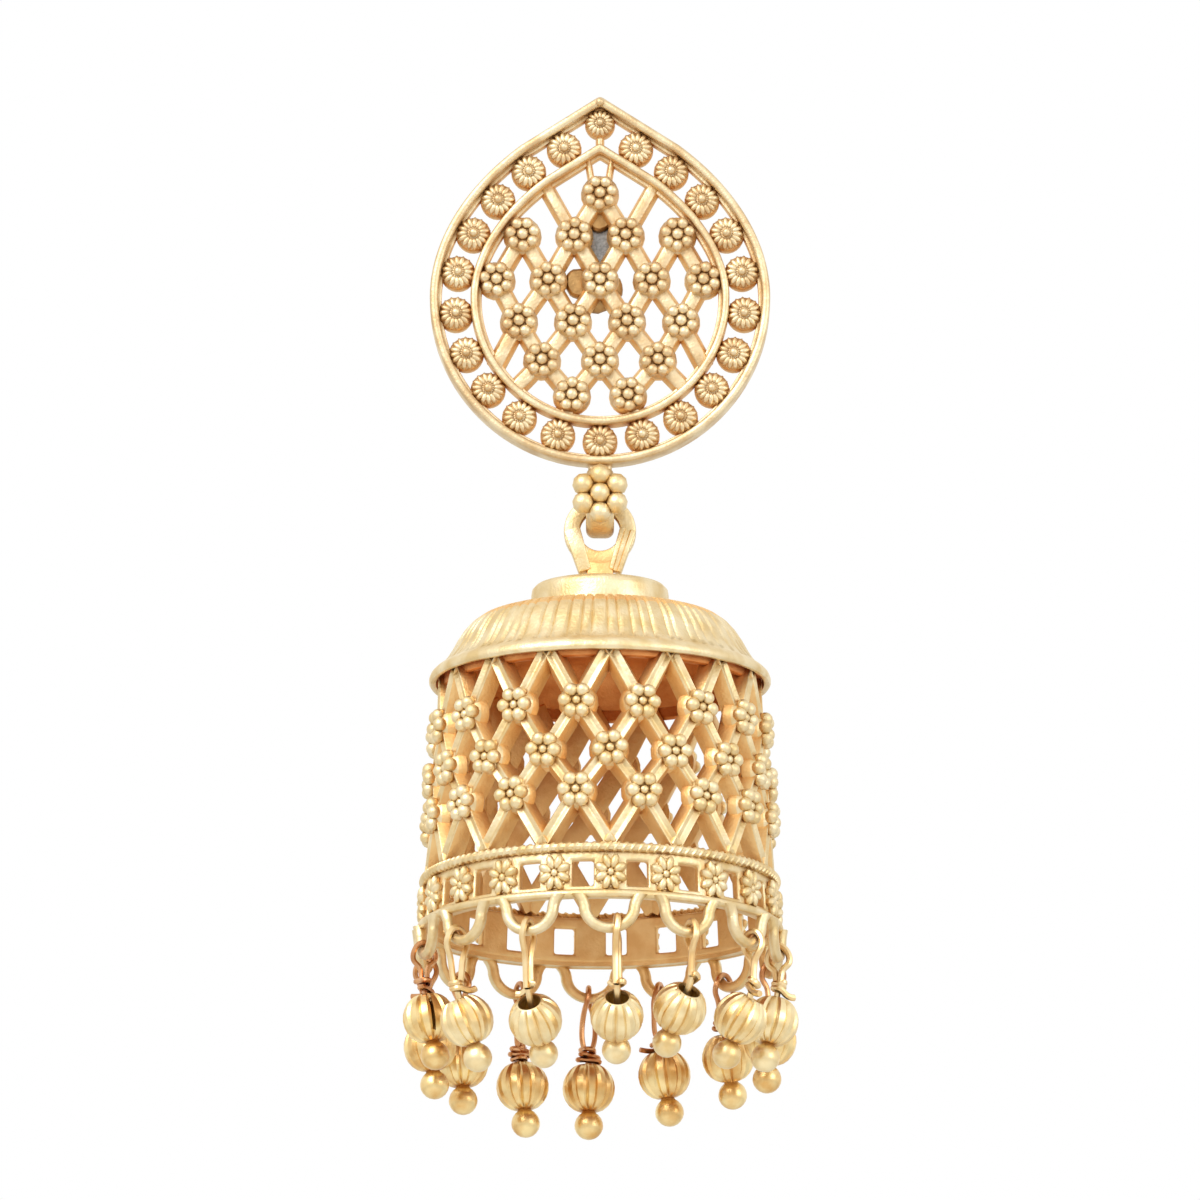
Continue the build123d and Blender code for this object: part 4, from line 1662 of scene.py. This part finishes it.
@dataclass
class BeadDrops:
    """The fringe: bent wire, ribbed bead and end ball on every scallop, placed by the frame's solids."""

    cage: BellCage
    neck_rise: float = 2.0  # of the place where the wire's strands meet, over the bead's middle
    stem_r: float = 0.19
    bead_profile: tuple[Point, ...] = (
        (0.66, 1.30), (0.76, 1.28), (0.93, 1.18), (1.14, 0.98), (1.32, 0.70), (1.45, 0.38), (1.50, 0.04),
        (1.46, -0.34), (1.34, -0.68), (1.14, -0.98), (0.88, -1.20), (0.6, -1.32), (0.32, -1.36),
    )
    bead_wall: float = 0.16
    rib_count: int = 13
    rib_steps: int = 4
    rib_end: float = 1.22  # height over and under the bead's middle at which the ribs end
    groove_depth: float = 0.13
    ball_profile: tuple[Point, ...] = (
        (0.26, 0.86), (0.36, 0.84), (0.4, 0.76), (0.44, 0.69), (0.58, 0.58), (0.72, 0.39), (0.80, 0.16),
        (0.82, -0.02), (0.80, -0.2), (0.71, -0.41), (0.56, -0.6), (0.38, -0.73), (0.16, -0.805),
    )

    def ribbed_bead(self, seam: bool) -> Object:
        """Makes a hollow pressed bead with ribs, a wide mouth and a small foot.

        Args:
            seam: Whether the seam between the sheet's two edges stands open.

        Returns:
            The bead about Z, mouth up.
        """
        steps = self.rib_count * self.rib_steps
        piece = Bench.turn(self.bead_profile, steps, closed=False)
        step = math.tau / steps

        def groove(co: Vector) -> bool:
            """Whether a vertex lies between two ribs."""
            return abs(co.z) < self.rib_end and round(math.atan2(co.y, co.x) / step) % self.rib_steps == 0

        with Bench.edit(piece):
            Bench.pick(groove)
            bpy.ops.transform.shrink_fatten(value=-self.groove_depth)
            if seam:
                Bench.pick(lambda co: abs(co.z) < 1.1 and -0.5 * step < math.atan2(co.y, co.x) < 1.5 * step)
                bpy.ops.mesh.select_mode(type="FACE")
                bpy.ops.mesh.delete(type="FACE")
        return Bench.apply(piece, "SOLIDIFY", thickness=self.bead_wall, offset=-1.0, use_rim=True)

    def eye(self, top: float, azimuth: float, binding: Binding) -> list[Vector]:
        """Draws the loop of a drop's wire over its scallop.

        Args:
            top: Height of the scallop's wire over the neck.
            azimuth: Where the drop hangs round the bell.
            binding: How the wire was bent.

        Returns:
            Points up one strand and down the other, from the neck.
        """
        near, wide = binding.spread, self.cage.scallop_tube_r + self.stem_r + 0.1
        rows = [  # height, distance from the middle, and share of the loop's twist
            (0.25 * top, near, 1.0),
            (0.6 * top, near, 0.8),
            (top - 0.5, wide, 0.3),
            (top, wide + 0.06, 0.0),
            (top + wide + 0.05, 0.5 * wide, 0.0),
        ]
        strands = [(-1, row) for row in [(0.02, 0.1, 1.0), *rows]]
        strands += [(1, row) for row in [*reversed(rows), (0.05, 0.2, 1.0)]]
        points = []
        for side, (height, gap, turned) in strands:
            angle = math.pi / 2 - math.radians(binding.twist) * turned
            x, y = side * gap * math.cos(angle), side * gap * math.sin(angle)
            points.append(polar(azimuth) @ Vector((x, y, height)))
        return points

    @staticmethod
    def wrap(binding: Binding) -> list[Vector]:
        """Draws the wrap of a drop's wire round its stem, and the loose end.

        Args:
            binding: How the wire was bent.

        Returns:
            Points from the wrap's top to the loose end, in the stem's frame.
        """
        wire, sweep = binding.wear.value, binding.turns * math.tau
        steps = max(8, round(binding.turns * 8))
        points = []
        for i in range(steps + 1):
            share = i / steps
            angle = math.radians(binding.tail_turn) - sweep + share * sweep
            reach_out = wire.wrap_r + wire.slack * math.sin(2.3 * angle + binding.tail_turn)
            height = 0.35 - wire.wrap_height * share
            points.append(Vector((reach_out * math.cos(angle), 0.8 * reach_out * math.sin(angle), height)))
        out = math.radians(binding.tail_turn + 70)
        for share, height in ((0.5, -0.5), (1.0, -0.38)):
            start = Vector((wire.wrap_r * math.cos(out - 1.2), wire.wrap_r * math.sin(out - 1.2), height))
            points.append(Vector((math.cos(out), math.sin(out), 0)) * (binding.tail * share) + start)
        return points

    def build(self) -> None:
        """Builds and releases every drop."""
        for i, binding in enumerate(BINDINGS, start=1):
            self.build_drop(i, binding)

    def build_drop(self, index: int, binding: Binding) -> None:
        """Builds and releases one drop.

        Args:
            index: Its number, from 1.
            binding: How its wire was bent.
        """
        number, cage = f"{index:02d}", self.cage
        boxes = (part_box(f"{node}_{number}") for node in ("melon_bead", "end_ball"))
        bead, ball = ((low + high) / 2 / MM for low, high in boxes)
        up = (bead - ball).normalized()
        neck = bead + up * self.neck_rise
        lean = up.to_track_quat("Z", "Y").to_matrix().to_4x4()
        azimuth = math.degrees(math.atan2(neck.x, AXIS_Y - neck.y))
        pitch = 360 / cage.scallop_count
        slide = (azimuth - cage.scallop_phase + pitch / 2) % pitch - pitch / 2
        along = cage.foot_r * math.radians(slide)
        sag = cage.scallop_squash * math.sqrt(max(0.1, cage.scallop_r**2 - along**2))
        nod = polar(azimuth) @ Matrix.Rotation(math.radians(binding.nod), 4, "X") @ polar(-azimuth)
        seat = Matrix.Translation(bead) @ nod @ lean
        path = [neck + point for point in self.eye(cage.scallop_z - sag - neck.z, azimuth, binding)]
        path += [neck + lean @ point for point in self.wrap(binding)]
        stem = [neck, seat @ Vector((0, 0, 1.2)), seat @ Vector((0, 0, -1.2)), ball]
        bent, straight = Bench.wire(path, binding.wear.value.radius), Bench.wire(stem, self.stem_r, steps=3)
        wire = Bench.join([bent, straight])
        spin = polar(SEAMS.get(index, 17 * index))
        ribbed = Bench.put(self.ribbed_bead(index in SEAMS), seat @ spin)
        end = Bench.put(Bench.turn(self.ball_profile, 28), Matrix.Translation(ball) @ lean)
        pale = binding.wear is Wear.PALE
        metal, plate = (Finish.WIRE, Finish.BEAD) if pale else (Finish.WORN_WIRE, Finish.WORN_BEAD)
        for piece, name, slot, finish, node in (
            (wire, "bound_wire", Slot.COPPER_WIRE, metal, "drop_wire"),
            (ribbed, "ribbed_bead", Slot.BEAD_GOLD, plate, "melon_bead"),
            (end, "round_ball", Slot.BEAD_GOLD, plate, "end_ball"),
        ):
            Bench.release(piece, f"{name}_{number}", Body.JHUMKA, slot, finish, f"{node}_{number}")


# -------------------------------------------------------------------------------------------- the studio


@dataclass
class Studio:
    """Floor, sky, lamps and camera."""

    elevation_deg: float = -13.0
    lens_mm: float = 400.0
    fill_share: float = 0.84  # of the view's height that the earring fills
    floor_z_m: float = -0.34
    floor_r_m: float = 1.6
    sky_strength: float = 0.85

    def world(self) -> None:
        """A white surround, softer on what it lights than on what sees it."""
        world = bpy.data.worlds.new("studio_white")
        world.use_nodes = True
        tree = world.node_tree
        tree.nodes.clear()
        path = add_node(tree, "LightPath").outputs
        seen = path["Is Camera Ray"]
        for ray in ("Is Glossy Ray", "Is Transmission Ray"):
            seen = add_node(tree, "Math", {0: seen, 1: path[ray]}, operation="MAXIMUM").outputs[0]
        light = add_node(tree, "Background", {"Color": linear("#F4F4F4"), "Strength": self.sky_strength})
        white = add_node(tree, "Background", {"Color": linear("#FFFFFF"), "Strength": 1.0})
        mix = add_node(tree, "MixShader", {0: seen, 1: light.outputs[0], 2: white.outputs[0]})
        add_node(tree, "OutputWorld", {"Surface": mix.outputs[0]})
        bpy.context.scene.world = world

    def floor(self) -> None:
        """A pale floor well below the earring, with a narrow border."""
        Bench.clear()
        bpy.ops.mesh.primitive_circle_add(
            vertices=96, radius=self.floor_r_m, fill_type="NGON", location=(0, 0, self.floor_z_m)
        )
        piece = Bench.settle(bpy.context.object)
        with Bench.edit(piece):
            bpy.ops.mesh.inset(thickness=0.02)
        piece.name = "studio_floor"
        material, tree, place = new_material("matte_white_board")
        fleck = add_node(tree, "TexNoise", {"Vector": place, "Scale": 60.0, "Detail": 2.0}).outputs[0]
        whites = {0: fleck, 6: linear("#EDEDEC"), 7: linear("#F3F3F2")}
        colour = add_node(tree, "Mix", whites, data_type="RGBA")
        shader = add_node(tree, "BsdfPrincipled", {"Base Color": colour.outputs[2], "Roughness": 0.8})
        add_node(tree, "OutputMaterial", {"Surface": shader.outputs[0]})
        piece.data.materials.append(material)
        piece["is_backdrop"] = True

    def lamp(self, name: str, place: Vector, target: Vector, size: float, watts: float) -> None:
        """Adds a soft square lamp.

        Args:
            name: The lamp's name.
            place: Where it stands, in metres.
            target: What it faces.
            size: Its side, in metres.
            watts: Its power.
        """
        data = bpy.data.lights.new(name, "AREA")
        data.size, data.energy = size, watts
        lamp = bpy.data.objects.new(name, data)
        lamp.location = place
        lamp.rotation_euler = (target - place).to_track_quat("-Z", "Y").to_euler()
        bpy.context.collection.objects.link(lamp)

    def camera(self, centre: Vector, height: float) -> None:
        """Sets up the camera, which looks up at the earring.

        Args:
            centre: What it faces, in metres.
            height: The earring's height, in metres.
        """
        data = bpy.data.cameras.new("camera")
        data.lens = self.lens_mm
        data.clip_start, data.clip_end = 0.01, 10.0
        camera = bpy.data.objects.new("camera", data)
        elevation = math.radians(self.elevation_deg)
        view_height = height * math.cos(elevation) / self.fill_share
        distance = view_height * self.lens_mm / data.sensor_width
        back = Vector((0, -math.cos(elevation), math.sin(elevation)))
        camera.location = centre + back * distance
        camera.rotation_euler = (-back).to_track_quat("-Z", "Y").to_euler()
        bpy.context.collection.objects.link(camera)
        bpy.context.scene.camera = camera

    def build(self) -> None:
        """Sets the stage round the framed object."""
        low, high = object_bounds()
        centre = Vector((0, AXIS_Y * MM, (low.z + high.z) / 2))
        self.world()
        self.floor()
        self.lamp("key_softbox", Vector((-0.32, -0.5, 0.38)), centre, 0.4, 3.4)
        self.lamp("fill_softbox", Vector((0.45, -0.4, 0.1)), centre, 0.3, 0.8)
        self.camera(centre, high.z - low.z)
        bpy.context.scene.view_settings.view_transform = "Standard"


def main() -> None:
    """Builds the earring over its frame, in order."""
    logging.basicConfig(level=logging.INFO, format="%(name)s: %(message)s")
    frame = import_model()
    Studio().build()
    EarPlate().build()
    EarPost(frame).build()
    BellCap().build()
    cage = BellCage()
    cage.build()
    BeadDrops(cage).build()
    Bench.clear()


if __name__ == "__main__":
    main()
